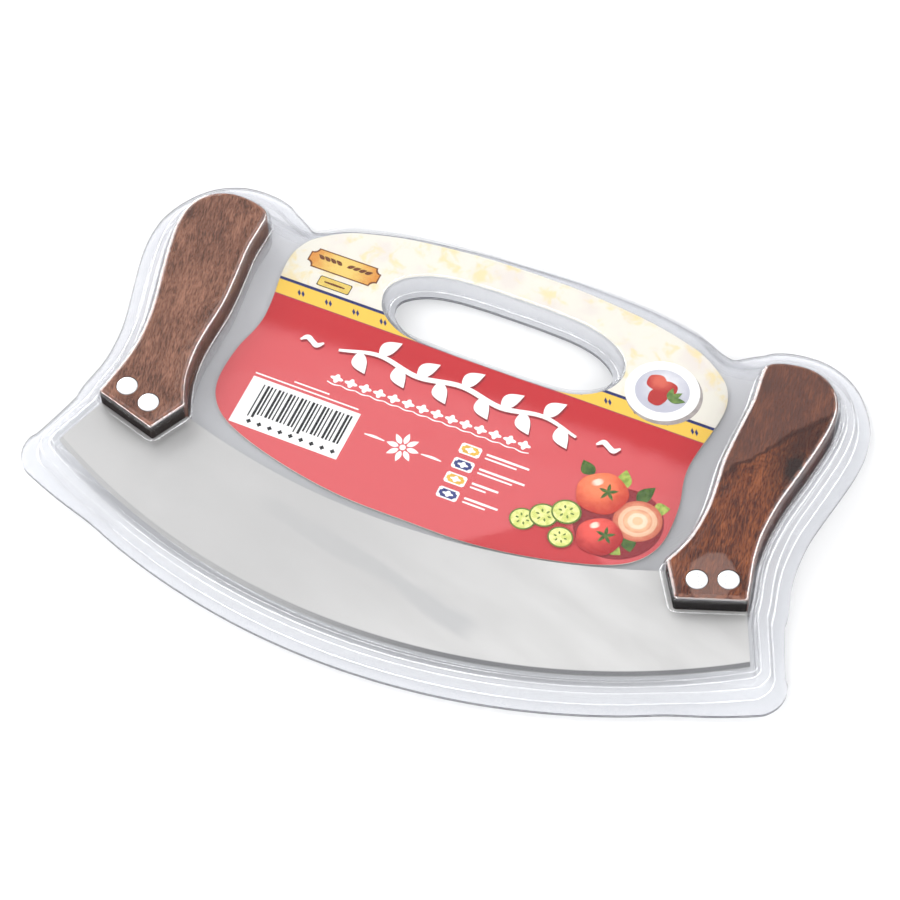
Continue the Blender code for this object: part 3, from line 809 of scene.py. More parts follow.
@dataclass(frozen=True)
class StudioWhite:
    """The white sweep that the pack lies on."""

    low: Colour = (0.84, 0.845, 0.85)
    high: Colour = (0.87, 0.87, 0.87)

    def material(self) -> bpy.types.Material:
        """Return the finish, with a hardly seen variation."""
        paint = Paint("studio_white")
        tone = paint.noise(paint.place(unit=(1, 1, 1)), 1.5)
        return paint.show(paint.principled(
            Base_Color=paint.ramp(tone, (0.0, self.low), (1.0, self.high)),
            Roughness=0.9, Specular_IOR_Level=0.1))


@dataclass
class Outlines:
    """The lines that the pieces share, with the sizes of the part's source."""

    shift: float
    half_chord: float = 0.125
    edge_sag: float = 0.0342
    tip_drop: float = 0.0220
    handle_x: float = 0.1042
    card_base: float = -0.0098
    card_pivot: float = 0.0598
    card_turn: float = math.radians(-2.5)
    card_shift: float = 0.0008
    card_room: float = 0.0005
    dip_drop: float = 0.0010
    edge_relief: float = 0.0056
    back_inset: float = 0.0012
    tip_radius: float = 0.0005
    tip_bulge: float = 0.0010
    tip_rim_fall: float = 0.0020
    tip_from: float = 0.80
    edge_steps: int = 10
    tip_steps: int = 5

    OUTER = ((13.4, -3.3), (12.1, 4.0), (10.5, 13.0), (10.0, 23.0), (11.4, 36.0), (14.0, 48.0),
             (16.6, 60.0), (18.3, 71.0), (18.0, 79.5), (15.4, 85.4), (10.8, 89.6), (4.4, 91.7),
             (-3.2, 91.2), (-8.8, 89.2))
    INNER = ((-10.7, 86.6), (-10.8, 82.0), (-10.3, 72.0), (-11.4, 57.0), (-11.9, 46.0),
             (-11.1, 34.0), (-10.9, 25.0), (-12.1, 15.0), (-14.0, 8.5), (-16.9, 1.9))
    TOE = (-9.6, -10.8)
    MARGINS = ((3.0, 7.4, 13.0), (3.2, 7.6, 13.6), (3.2, 7.5, 13.2), (3.2, 7.3, 12.9),
               (3.2, 6.9, 12.3), (3.2, 6.8, 12.2), (3.2, 6.8, 12.4), (3.2, 6.9, 12.6),
               (3.2, 6.9, 12.4), (3.2, 7.2, 12.4), (3.2, 8.0, 13.6), (3.2, 8.6, 14.6),
               (3.2, 8.6, 14.8), (3.2, 8.4, 14.6))
    EDGE_MARGINS = (2.8, 5.6, 10.4)
    TIP_MARGINS = (2.8, 7.2, 14.0)
    LOBE_MARGINS = ((2.4, 5.4, 11.6), (1.4, 2.6, 7.4), (1.0, 1.9, 5.0), (1.0, 1.9, 4.8),
                    (1.0, 1.9, 5.0), (1.0, 1.9, 5.2), (1.0, 1.9, 5.5), (1.0, 1.9, 5.6))
    CARD = ((0.0, 0.0), (18.5, 0.1), (31.7, 1.3), (45.0, 3.6), (58.0, 6.8), (67.0, 9.8),
            (74.0, 13.1), (79.0, 17.3), (82.4, 22.8), (83.8, 29.8), (83.2, 41.8), (80.9, 51.8),
            (80.4, 57.8), (81.2, 65.8), (82.6, 73.8), (83.5, 82.8), (82.5, 89.2), (79.0, 95.1),
            (68.8, 102.3), (59.5, 105.5), (48.0, 108.2), (35.3, 110.0), (18.0, 111.6),
            (0.0, 112.0))
    CARD_TOP_FROM = 17
    SLOT = ((0.0, 68.2), (16.0, 68.3), (30.0, 69.1), (37.5, 71.8), (43.5, 76.8), (45.9, 83.3),
            (44.6, 88.8), (40.5, 93.1), (34.0, 96.6), (25.0, 98.8), (12.0, 99.7), (0.0, 99.8))

    @property
    def edge_radius(self) -> float:
        """Return the cutting edge's radius, (c^2 + s^2) / 2s for half chord c and sag s."""
        return (self.half_chord**2 + self.edge_sag**2) / (2 * self.edge_sag)

    @property
    def edge_centre(self) -> tuple[float, float, float]:
        """Return the centre of the cutting edge's circle."""
        return 0.0, self.edge_radius - self.tip_drop - self.edge_sag + self.shift, 0.0

    def edge(self, x: np.ndarray) -> np.ndarray:
        """Return points of the cutting edge, y = yc - sqrt(r^2 - x^2)."""
        return np.column_stack([x, self.edge_centre[1] - np.sqrt(self.edge_radius**2 - x**2)])

    def on_handle(self, keys: Sequence, side: Side = Side.RIGHT) -> np.ndarray:
        """Return a handle's table in metres, on one side."""
        points = np.asarray(keys, float).reshape(-1, 2) * MM + (self.handle_x, self.shift)
        return points * (side.value, 1.0)

    def handle(self, side: Side, outset: float, reach: float,
               flare: float = 0.0) -> np.ndarray:
        """Return a handle's outline.

        Args:
            side: Which handle.
            outset: How far the outline lies outside the wood.
            reach: The rounding's reach at the three corners of the foot.
            flare: How much further it lies on the side of the card, eased in along the butt.

        Returns:
            The anticlockwise loop.
        """
        line = smooth(self.on_handle(self.OUTER + self.INNER), 8)
        t = np.clip(np.arange(len(line) + 1) / 8 - 13.0, 0, 3) / 3
        outset = outset + flare * t * t * (3 - 2 * t)
        sharp = offset(np.vstack([line, self.on_handle(self.TOE)]), outset)
        line, toe = sharp[:-1], sharp[-1]
        loop = np.vstack([corner(toe, line[0], line[3], reach, 6), line[3:-3],
                          corner(line[-4], line[-1], toe, reach, 6),
                          corner(line[-1], toe, line[0], reach, 6)])
        return loop if side is Side.RIGHT else (loop * (-1.0, 1.0))[::-1]

    def on_card(self, keys: Sequence, turn: float | None = None) -> np.ndarray:
        """Return a table of the card in metres, turned about the card's pivot.

        Args:
            keys: Points from the card's middle and lower edge.
            turn: The turn, or None for the card as it lies, with its shift.

        Returns:
            The points.
        """
        angle = self.card_turn if turn is None else turn
        aside = self.card_shift if turn is None else 0.0
        points = np.asarray(keys, float)[:, :2] * MM - (0.0, self.card_pivot)
        return rotated(points, angle, aside, self.card_base + self.card_pivot + self.shift)

    @property
    def card_origin(self) -> tuple[float, float, float]:
        """Return the middle of the card's lower edge."""
        x, y = self.on_card([(0.0, 0.0)])[0]
        return float(x), float(y), 0.0

    def pack(self) -> np.ndarray:
        """Return the outer line of knife and card with its margins, at the source's points.

        Returns:
            A closed loop of x, y and the margins of the front plateau, the wall, the rim and the
            back plateau, the first three blended by 3t^2 - 2t^3 towards the blade's tip.
        """
        share = np.arange(self.edge_steps) / self.edge_steps
        t = np.clip((share - self.tip_from) / (1 - self.tip_from), 0, 1)
        blend = (t * t * (3 - 2 * t))[:, None]
        edge, tip = np.array(self.EDGE_MARGINS) * MM, np.array(self.TIP_MARGINS) * MM
        margins = edge + (tip - edge) * blend
        room = self.half_chord * (1 - share) / (self.half_chord - self.handle_x)
        back = margins[:, 0] - self.back_inset - self.edge_relief * np.minimum(1.0, room)
        bottom = np.column_stack([self.edge(self.half_chord * share), margins, back])
        side = self.on_handle(self.OUTER)
        point = self.edge(np.array([self.half_chord]))[0]
        arc = self.tip_arc(bottom[-1, :2], point, side[0])
        u = np.linspace(0, 1, self.tip_steps + 1)
        rim = tip[2] + self.tip_bulge * np.sin(np.pi * u) - self.tip_rim_fall * u
        fixed = np.full(len(u), tip[0])
        tips = np.column_stack([arc, fixed, np.full(len(u), tip[1]), rim,
                                fixed - self.back_inset])
        over = self.on_card(self.CARD[self.CARD_TOP_FROM:-1], abs(self.card_turn))
        over[:, 1] += self.card_room
        over = np.vstack([over, (0.0, over[-1, 1])])
        dip = (side[-1] + over[0]) / 2 - (0.0, self.dip_drop)
        line = np.vstack([side, dip, over])
        widths = np.array(self.MARGINS + self.LOBE_MARGINS) * MM
        rest = smooth(np.column_stack([line, widths, widths[:, 0] - self.back_inset]), 2)
        return mirrored(np.vstack([bottom, tips, rest]))

    def tip_arc(self, before: np.ndarray, tip: np.ndarray, after: np.ndarray) -> np.ndarray:
        """Return the arc of the tip's radius that touches both sides of the tip's corner."""
        a, b = (before - tip), (after - tip)
        a, b = a / np.linalg.norm(a), b / np.linalg.norm(b)
        half = math.acos(float(a @ b)) / 2
        centre = tip + (a + b) * self.tip_radius / math.sin(half) / np.linalg.norm(a + b)
        reach = self.tip_radius / math.tan(half)
        start, end = tip + a * reach - centre, tip + b * reach - centre
        first, last = math.atan2(start[1], start[0]), math.atan2(end[1], end[0])
        sweep = (last - first + math.pi) % (2 * math.pi) - math.pi
        angle = first + sweep * np.linspace(0, 1, self.tip_steps + 1)
        return centre + self.tip_radius * np.stack([np.cos(angle), np.sin(angle)], -1)

    def card(self) -> np.ndarray:
        """Return the card's outline as it lies."""
        return self.on_card(mirrored(smooth(self.CARD, 8)))

    def slot(self) -> np.ndarray:
        """Return the outline of the carry slot as the card lies."""
        return self.on_card(mirrored(smooth(self.SLOT, 10)))


@dataclass
class Levels:
    """The heights of the pieces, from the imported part."""

    sheet: float = 0.0005
    clearance: float = 0.0003
    flange_lift: float = 0.0010
    terrace_drop: float = 0.0028

    def __post_init__(self) -> None:
        """Read the heights of the nodes."""
        self.wood = tuple(p.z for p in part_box("handle_right"))
        self.blade = tuple(p.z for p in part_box("blade"))
        self.card = tuple(p.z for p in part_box("card_insert"))
        self.back_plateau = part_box(Shell.BACK.value)[1].z
        self.bulge_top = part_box(Shell.FRONT.value)[1].z
        self.front_plateau = self.blade[1] + self.clearance + self.sheet
        self.terrace = self.front_plateau - self.terrace_drop
        self.back_flange = self.flange_lift + self.sheet
        self.front_flange = self.back_flange + self.clearance + self.sheet


def adopt(piece: bpy.types.Object, body: str, slot: str, *nodes: str) -> None:
    """Let a piece ride on a body and stand for CAD nodes; its slot is not used."""
    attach(piece, body)
    if nodes:
        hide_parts(*nodes)
    LOG.info("%s: %d faces", piece.name, len(piece.data.polygons))


def subtract(piece: bpy.types.Object, form: Form, name: str) -> None:
    """Cut a closed form out of a piece and keep the result as its mesh."""
    cutter = form.build(name, [])
    step = piece.modifiers.new(name, "BOOLEAN")
    step.operation = "DIFFERENCE"
    step.solver = "EXACT"
    step.object = cutter
    bpy.context.view_layer.update()
    seen = piece.evaluated_get(bpy.context.evaluated_depsgraph_get())
    piece.data = bpy.data.meshes.new_from_object(seen)
    piece.modifiers.clear()
    bpy.data.objects.remove(cutter)


@dataclass
class Handle:
    """A one-piece wooden handle, sawn open for the tang and bored for two rivets."""

    lines: Outlines
    levels: Levels
    side: Side
    rounding: float = 0.0016
    rivet_radius: float = 0.00363
    rivet_head: float = 0.0020
    rivet_edge: float = 0.00022
    rivet_dome: float = 0.00008
    shank_radius: float = 0.0025
    pin_radius: float = 0.0013
    rivet_span: tuple[float, float] = (0.00976, 0.00362)
    dome_shape: tuple[tuple[float, float], ...] = ((0.0, 1.0), (0.45, 0.8), (0.8, 0.3))
    tang_height: float = 0.0205
    seat_gap: float = 0.00022
    kerf_gap: float = 0.0002
    kerf_reach: float = 0.03
    face_run: float = 0.0030
    toe_reach: float = 0.0008
    toe_least: float = 0.00015
    wear_depth: float = 0.22
    wear_width: float = 0.42
    wear_least: float = 0.02

    def rivets_at(self) -> dict[str, tuple[float, float]]:
        """Return the plan place of each rivet."""
        dx, dy = self.rivet_span[0] / 2, self.rivet_span[1] / 2
        x, y = self.lines.handle_x, self.lines.shift
        return {"outer": (self.side.value * (x + dx), y + dy),
                "inner": (self.side.value * (x - dx), y - dy)}

    def build(self, finish: bpy.types.Material, metal: bpy.types.Material) -> None:
        """Build the wood and its four rivet halves."""
        wood = self.wood(finish)
        self.keep_wear(wood)
        adopt(wood, "knife", f"wood_{self.side.word}", f"handle_{self.side.word}")
        for place, (x, y) in self.rivets_at().items():
            for end, profile in (("front", self.tube()), ("back", self.pin())):
                form = Form()
                form.grid(turned(profile, x, y))
                name = f"rivet_{self.side.word}_{place}_{end}"
                piece = form.build(f"turned_{name}", [metal])
                adopt(piece, "knife", "rivets", name)

    def wood(self, finish: bpy.types.Material) -> bpy.types.Object:
        """Return the wood: rings of the outline that follow a quarter round at both faces.

        Ring at angle a of the quarter lies in by r (1 - sin a) and up by r (1 - cos a).
        """
        low, high = self.levels.wood
        angle = np.linspace(0, np.pi / 2, 8)
        inset = self.rounding * (1 - np.sin(angle))
        rise = self.rounding * (1 - np.cos(angle))
        depths = np.concatenate([[self.face_run], inset, inset[::-1], [self.face_run]])
        heights = np.concatenate([[high], high - rise, low + rise[::-1], [low]])
        rings = [lifted(self.lines.handle(self.side, -d, max(self.toe_reach - d, self.toe_least)),
                        h) for d, h in zip(depths, heights)]
        form = Form()
        form.grid(np.stack(rings))
        form.cap(rings[0], True)
        form.cap(rings[-1], False)
        piece = form.build(f"wooden_handle_{self.side.word}", [finish])
        subtract(piece, self.kerf(), "kerf")
        for place, (x, y) in self.rivets_at().items():
            subtract(piece, self.bore(x, y), f"bore_{place}")
        shade(piece, 30.0)
        return piece

    def kerf(self) -> Form:
        """Return the cut for the tang, open at the foot and on both sides."""
        middle = sum(self.levels.blade) / 2
        half = (self.levels.blade[1] - self.levels.blade[0]) / 2 + self.kerf_gap
        top = self.lines.shift + self.tang_height + self.kerf_gap
        x, foot = self.lines.handle_x * self.side.value, self.lines.shift - self.kerf_reach
        left, right = x - self.kerf_reach, x + self.kerf_reach
        form = Form()
        form.slab(block(left, foot, right, top), middle - half, middle + half)
        return form

    def bore(self, x: float, y: float) -> Form:
        """Return the stepped bore of one rivet."""
        low, high = self.levels.wood
        seat = self.rivet_head + self.seat_gap
        wide, narrow = self.rivet_radius + self.seat_gap, self.shank_radius + self.seat_gap
        form = Form()
        form.grid(turned(((0, high + seat), (wide, high + seat), (wide, high - seat),
                          (narrow, high - seat), (narrow, low + seat), (wide, low + seat),
                          (wide, low - seat), (0, low - seat)), x, y, 64))
        return form

    def keep_wear(self, piece: bpy.types.Object) -> None:
        """Keep on each point how worn it is: most on the faces' rounded edges.

        Wear is exp(-((d - d0) / w)^2) for the height d below a face, with d0 and w in roundings.
        """
        data = piece.data
        points = np.empty(len(data.vertices) * 3)
        data.vertices.foreach_get("co", points)
        z = points.reshape(-1, 3)[:, 2]
        depth = np.minimum(z - self.levels.wood[0], self.levels.wood[1] - z)
        flat = np.array([v.normal.z for v in data.vertices])
        wear = np.exp(-((depth - self.rounding * self.wear_depth)
                        / (self.rounding * self.wear_width)) ** 2)
        wear *= (np.abs(flat) < 0.999) & (depth > self.rounding * self.wear_least)
        data.attributes.new("wear", "FLOAT", "POINT").data.foreach_set("value", wear)

    def tube(self) -> list[tuple[float, float]]:
        """Return the front half's profile: head with a faint dome, and the tube."""
        low, high = self.levels.wood
        bore = self.pin_radius + self.levels.clearance
        r, edge, under = self.rivet_radius, self.rivet_edge, high - self.rivet_head
        end = low + self.rivet_head + self.levels.clearance
        dome = [(r * out, high + self.rivet_dome * rise) for out, rise in self.dome_shape]
        return dome + [(r - edge, high), (r - edge * 0.3, high - edge * 0.3), (r, high - edge),
                       (r, under), (self.shank_radius, under), (self.shank_radius, end),
                       (bore, end), (bore, under), (0, under)]

    def pin(self) -> list[tuple[float, float]]:
        """Return the back half's profile: the pin and its head."""
        low, high = self.levels.wood
        r, edge, over = self.rivet_radius, self.rivet_edge, low + self.rivet_head
        end = high - self.rivet_head - self.levels.clearance
        return [(0, end), (self.pin_radius, end), (self.pin_radius, over), (r, over),
                (r, low + edge), (r - edge * 0.3, low + edge * 0.3), (r - edge, low),
                (0, low)]


@dataclass(frozen=True)
class Bend:
    """One corner of a shell's profile: where its upper face turns, and its lower face below it.

    Attributes:
        out: How far it lies outside the path that the profile follows.
        height: The upper face's height.
        reach: The rounding's reach on the upper face.
        shift: How much further out the lower face turns.
        under: The rounding's reach on the lower face.
        plan: The rounding's reach at a handle's corners, seen from above.
        flare: How much further it lies on the side of the card.
    """

    out: float | np.ndarray
    height: float
    reach: float = 0.0
    shift: float = 0.0
    under: float = 0.0
    plan: float = 0.0
    flare: float = 0.0


Placer = Callable[[Bend, float | np.ndarray, float], np.ndarray]


@dataclass
class Pack:
    """The two clear shells, each with its upper and lower face and a cut edge.

    The sheet keeps its full thickness on the flats and is drawn thinner in the walls.
    """

    lines: Outlines
    levels: Levels
    wall: float = 0.00035
    wall_draft: float = 0.0009
    step_draft: float = 0.0005
    bulge_draft: float = 0.0006
    slot_gap: float = 0.0006
    slot_draft: float = 0.0016
    slot_lip: float = 0.0045
    front_run: float = 0.0009
    back_run: float = 0.0005
    back_shift: float = 0.0001
    bulge_run: float = 0.0046
    pocket_run: float = 0.0040
    mouth_run: float = 0.0003
    middle_corner: float = 0.0004
    bulge_steps: int = 7
    ring_steps: int = 4

    def ring(self, path: np.ndarray, margins: np.ndarray, height: float) -> np.ndarray:
        """Return a fine ring through the source's points of an offset path."""
        line = smooth(offset(path, margins), self.ring_steps, closed=True)
        low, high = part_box(Shell.FRONT.value)
        return lifted(np.clip(line, tuple(low.xy), tuple(high.xy)), height)

    def round_pack(self, path: np.ndarray) -> Placer:
        """Return how a bend's ring is laid round the pack's outline."""
        return lambda _, out, height: self.ring(path, out, height)

    def round_handle(self, side: Side) -> Placer:
        """Return how a bend's ring is laid round a handle."""
        return lambda bend, out, height: lifted(
            self.lines.handle(side, out, bend.plan, bend.flare), height)

    def skin(self, form: Form, place: Placer, bends: Sequence[Bend], edge: Edge,
             steps: int = 5) -> None:
        """Add both faces of the sheet along a profile.

        Args:
            form: The form to add to.
            place: Gives a bend's ring at a distance and a height.
            bends: The profile's corners from the middle outward.
            edge: Whether the sheet ends at one end of the profile, cut or closed by a flat.
            steps: Spans of each rounding.
        """
        inner = bends[1:-1]
        top = carried([place(b, b.out, b.height) for b in bends],
                      [b.reach for b in inner], steps)
        low = carried([place(b, b.out + b.shift, b.height - self.levels.sheet)
                       for b in bends], [b.under for b in inner], steps)
        form.grid(top)
        form.grid(low[::-1])
        if edge is Edge.CUT_OUTSIDE:
            form.grid(np.stack([top[-1], low[-1]]), 1)
        elif edge is Edge.CUT_INSIDE:
            form.grid(np.stack([low[0], top[0]]), 1)
        elif edge is Edge.CLOSED:
            form.cap(top[0], True)
            form.cap(low[0], False)

    def build(self, sheets: dict[Shell, bpy.types.Material], cut: bpy.types.Material) -> None:
        """Build both shells."""
        path = self.lines.pack()
        for shell, form, level in ((Shell.FRONT, self.front(path), self.levels.front_plateau),
                                   (Shell.BACK, self.back(path), self.levels.back_plateau)):
            piece = form.build(f"clear_{shell.value}", [sheets[shell], cut], angle=75.0)
            fill_level(piece, level)
            fill_level(piece, level - self.levels.sheet, False)
            body = "pack_front" if shell is Shell.FRONT else "pack_back"
            adopt(piece, body, f"clear_{shell.name.lower()}", shell.value)

    def front(self, path: np.ndarray) -> Form:
        """Return the front shell: plateau, step, terrace, wall and flange, bulges and slot."""
        lv, w = self.levels, -self.wall
        plateau, wall, rim = path[:, 2], path[:, 3], path[:, 4]
        form = Form()
        self.skin(form, self.round_pack(path), [
            Bend(plateau - self.front_run, lv.front_plateau, shift=w),
            Bend(plateau, lv.front_plateau, reach=0.0007, shift=w, under=0.0004),
            Bend(plateau + self.step_draft, lv.terrace, reach=0.0010, shift=w, under=0.0013),
            Bend(wall, lv.terrace, reach=0.0012, shift=w, under=0.0008),
            Bend(wall + self.wall_draft, lv.front_flange, reach=0.0012, shift=w, under=0.0015),
            Bend(rim, lv.front_flange)], Edge.CUT_OUTSIDE)
        out = lv.clearance + lv.sheet
        foot = out + self.bulge_draft
        for side in Side:
            self.skin(form, self.round_handle(side), [
                Bend(out - self.bulge_run, lv.bulge_top, shift=w, plan=self.middle_corner),
                Bend(out, lv.bulge_top, reach=0.0032, shift=w, under=0.0027, plan=0.0018),
                Bend(foot, lv.front_plateau, reach=0.0014, shift=w, under=0.0018, plan=0.0022),
                Bend(foot + self.back_run, lv.front_plateau, shift=w, plan=0.0026,
                     flare=0.0013)], Edge.CLOSED, self.bulge_steps)
        self.add_slot(form, lv.front_plateau, lv.front_flange, -self.slot_gap)
        return form

    def back(self, path: np.ndarray) -> Form:
        """Return the back shell: plateau, wall, flange, pockets and slot."""
        lv, w = self.levels, self.wall
        plateau, rim = path[:, 5], path[:, 4]
        form = Form()
        self.skin(form, self.round_pack(path), [
            Bend(plateau - self.back_run, lv.back_plateau, shift=self.back_shift),
            Bend(plateau, lv.back_plateau, reach=0.0004, shift=-w, under=0.00015),
            Bend(plateau + self.wall_draft, lv.back_flange, reach=0.0009, shift=-w, under=0.0012),
            Bend(rim, lv.back_flange)], Edge.CUT_OUTSIDE)
        mouth = lv.clearance + self.bulge_draft
        for side in Side:
            self.skin(form, self.round_handle(side), [
                Bend(lv.clearance - self.pocket_run, lv.sheet, shift=w, plan=self.middle_corner),
                Bend(lv.clearance, lv.sheet, reach=0.0012, shift=w, under=0.0015, plan=0.0012),
                Bend(mouth, lv.back_plateau, reach=0.0003, shift=w, under=0.0001, plan=0.0018),
                Bend(mouth + self.mouth_run, lv.back_plateau, shift=self.back_shift,
                     plan=0.0020)], Edge.CLOSED)
        self.add_slot(form, lv.back_plateau, lv.back_flange, lv.clearance)
        return form

    def add_slot(self, form: Form, high: float, low: float, gap: float) -> None:
        """Add the carry slot's wall and lip, its mouth at a gap outside the card's slot."""
        slot = self.lines.slot()
        foot = -abs(self.slot_gap) - self.slot_draft if gap < 0 else self.slot_gap - self.slot_draft
        self.skin(form, lambda _, out, height: lifted(offset(slot, out), height), [
            Bend(-self.slot_lip, low),
            Bend(foot, low, reach=0.0009, shift=self.wall, under=0.0012),
            Bend(gap, high, reach=0.0007, shift=self.wall, under=0.0004),
            Bend(gap + self.front_run, high, shift=self.wall)], Edge.CUT_INSIDE)


@dataclass
class Card:
    """The printed insert card with a carry slot."""

    lines: Outlines
    levels: Levels

    def build(self, finish: bpy.types.Material) -> None:
        """Build the card: walls round its outline and slot, both faces filled."""
        low, high = self.levels.card
        form = Form()
        outline, slot = self.lines.card(), self.lines.slot()
        form.grid(np.stack([lifted(outline, high), lifted(outline, low)]))
        form.grid(np.stack([lifted(slot, low), lifted(slot, high)]))
        piece = form.build("printed_card", [finish])
        fill_level(piece, high)
        fill_level(piece, low)
        with editing(piece.data) as work:
            bmesh.ops.recalc_face_normals(work, faces=work.faces)
        adopt(piece, "card", "card", "card_insert")


def oval(x: float, y: float, rx: float, ry: float, turn: float = 0.0, waves: int = 0,
         depth: float = 0.0, count: int = 56) -> np.ndarray:
    """Return an oval outline, r = 1 + depth cos(waves a), scaled to its radii and turned."""
    a = np.arange(count) * 2 * np.pi / count
    r = 1 + depth * np.cos(waves * a)
    return rotated(np.stack([rx * r * np.cos(a), ry * r * np.sin(a)], -1), turn, x, y)


def leaf(x: float, y: float, length: float, width: float, turn: float,
         bow: float = 0.0, count: int = 14) -> np.ndarray:
    """Return a leaf's outline from its stem.

    Its middle line rises by bow sin(pi t) and its half width is w/2 sin(pi t^0.8).
    """
    t = np.linspace(0, 1, count)
    middle = bow * np.sin(np.pi * t)
    half = width / 2 * np.sin(np.pi * t**0.8)
    points = np.vstack([np.stack([t * length, middle - half], -1),
                        np.stack([t * length, middle + half], -1)[-2:0:-1]])
    return rotated(points, turn, x, y)


def ribbon(keys: Sequence[tuple[float, float, float]], steps: int = 8) -> np.ndarray:
    """Return the outline of a stroke through keys of x, y and width, square to its path."""
    line = smooth(keys, steps)
    way = np.gradient(line[:, :2], axis=0)
    way /= np.linalg.norm(way, axis=1)[:, None]
    side = np.stack([-way[:, 1], way[:, 0]], -1) * line[:, 2:] / 2
    return np.vstack([line[:, :2] - side, (line[:, :2] + side)[::-1]])


def plaque(x: float, y: float, width: float, height: float, notch: float) -> np.ndarray:
    """Return a plate's outline with its corners cut by quarter circles about the corners."""
    a = np.linspace(0, np.pi / 2, 7)
    bite = np.stack([np.cos(a), np.sin(a)], -1) * notch
    half = np.array((width, height)) / 2
    return np.vstack([bite[::-1] - half, bite * (-1, 1) + (1, -1) * half,
                      half - bite[::-1], bite * (1, -1) + (-1, 1) * half]) + (x, y)


@dataclass
class Artwork:
    """The card's generic print: thin closed films of ink, laid over one another.

    All places are on the card, in millimetres.  A row of INKS is a name, two colours and, for a
    shaded ink, its middle and its spread.
    """

    lines: Outlines
    levels: Levels
    film: float = 0.00003
    base: float = 0.00001
    form: Form = field(default_factory=Form)

    PANEL = (-72.6, 12.9, -31.4, 33.2)
    BAR_WIDTHS = (0.5, 0.95, 0.7)
    RULES = ((34.6, -72.6, -33.0), (36.4, -58.5, -45.0))
    SPRIG = ((-50.0, 54.6, 1.1), (-36.0, 58.0, 1.7), (-20.0, 55.0, 2.0), (-4.0, 57.4, 2.0),
             (12.0, 54.6, 2.0), (27.0, 57.0, 1.6), (40.5, 53.6, 1.0))
    WAVE = ((-4.2, 53.6, 0.7), (-2.2, 55.4, 2.0), (0.0, 54.4, 1.9), (2.2, 53.4, 2.0),
            (4.2, 55.2, 0.7))
    WAVES_AT = (-60.2, 52.2)
    SHADE_SHIFT = (0.6, -0.8)
    ROSETTE = (-12.5, 26.4)
    BULLETS_X = 9.4
    BULLETS = ((34.4, 31.0), (28.0, 32.0), (21.8, 25.0), (15.4, 27.5))
    PLATE = (-63.6, 88.0)
    SMALL_PLATE = (-63.4, 79.4)
    ONION = (72.6, 30.6)
    LEAVES = ((70.0, 37.0, 9.0, 1.2), (64.0, 41.0, 7.6, 1.9), (71.0, 23.0, 6.0, -0.9),
              (66.0, 17.4, 6.4, -0.2), (52.0, 42.0, 7.0, 2.5), (76.0, 36.0, 6.0, 0.6))
    TOMATOES = ((57.4, 36.0, 9.0), (63.0, 19.8, 7.9))
    COURGETTES = ((36.6, 16.2, 4.6), (42.6, 20.2, 5.0), (49.2, 24.4, 5.2), (51.2, 14.4, 4.4))
    DISH = (60.6, 83.0)
    DISH_SLICES = ((57.6, 85.6), (62.0, 84.2), (60.0, 80.0))
    INKS = (
        ("white", ink(244, 243, 242), ink(236, 234, 233)),
        ("shade", ink(128, 30, 38), ink(140, 36, 44)),
        ("black", ink(6, 6, 8), ink(18, 18, 20)),
        ("bullet", ink(222, 178, 70), ink(212, 164, 62)),
        ("bullet_blue", ink(40, 48, 110), ink(52, 60, 122)),
        ("brown", ink(112, 62, 30), ink(96, 52, 28)),
        ("orange", ink(222, 190, 104), ink(204, 132, 56), PLATE, 14.0),
        ("gold", ink(216, 190, 100), ink(208, 176, 84)),
        ("rind", ink(84, 110, 40), ink(108, 130, 54)),
        ("flesh", ink(228, 228, 152), ink(200, 206, 112)),
        ("leaf_dark", ink(48, 78, 28), ink(80, 108, 44)),
        ("leaf_pale", ink(176, 192, 92), ink(122, 150, 60)),
        ("onion", ink(236, 190, 150), ink(196, 98, 74), ONION, 8.6),
        ("onion_ring", ink(240, 214, 186), ink(226, 178, 144), ONION, 7.0),
        ("tomato_0", ink(238, 126, 84), ink(186, 52, 36), (55.0, 38.8), 11.7),
        ("glint_0", ink(248, 214, 196), ink(238, 126, 84), (54.4, 39.6), 2.7),
        ("tomato_1", ink(224, 84, 74), ink(160, 24, 30), (60.6, 22.6), 10.27),
        ("glint_1", ink(248, 214, 196), ink(224, 84, 74), (60.0, 23.4), 2.37),
        ("soft_shade", ink(150, 142, 140), ink(166, 158, 154)),
        ("plate_well", ink(220, 220, 222), ink(184, 184, 196), (60.6, 85.0), 9.5),
        ("slice", ink(206, 96, 78), ink(172, 44, 42), (58.6, 86.8), 5.5),
        ("sprig", ink(112, 140, 70), ink(74, 104, 52)))
    TONES = [row[0] for row in INKS]

    def ink(self, name: str, colour: Colour, other: Colour,
            centre: tuple[float, float] = (0.0, 0.0), spread: float = 0.0) -> bpy.types.Material:
        """Mix one row of the table of inks; a spread of 0 stands for an even ink."""
        x, y = self.lines.on_card([centre])[0]
        middle = (float(x), float(y), 0.0) if spread else None
        return Ink(f"print_{name}", colour, other, middle, spread).material()

    def lay(self, tone: str, outline: np.ndarray, layer: float = 0) -> None:
        """Print one outline in a tone of the table, above the layers below it."""
        loop = self.lines.on_card(outline)
        turn = np.roll(loop, -1, 0)
        if (loop[:, 0] * turn[:, 1] - loop[:, 1] * turn[:, 0]).sum() < 0:
            loop = loop[::-1]
        low = self.levels.card[1] + self.base + layer * self.film
        self.form.slab(loop, low, low + self.film - self.base / 2, self.TONES.index(tone))

    def stroke(self, tone: str, keys: Sequence[tuple[float, float, float]],
               layer: float = 0) -> None:
        """Print one stroke through keys of x, y and width."""
        self.lay(tone, ribbon(keys), layer)

    def build(self) -> None:
        """Print every motif."""
        finishes = [self.ink(*row) for row in self.INKS]
        self.panel()
        self.sprig()
        self.notes()
        self.plates()
        self.produce()
        self.bowl()
        piece = self.form.build("card_artwork", finishes, 1e-7)
        adopt(piece, "card", "card")

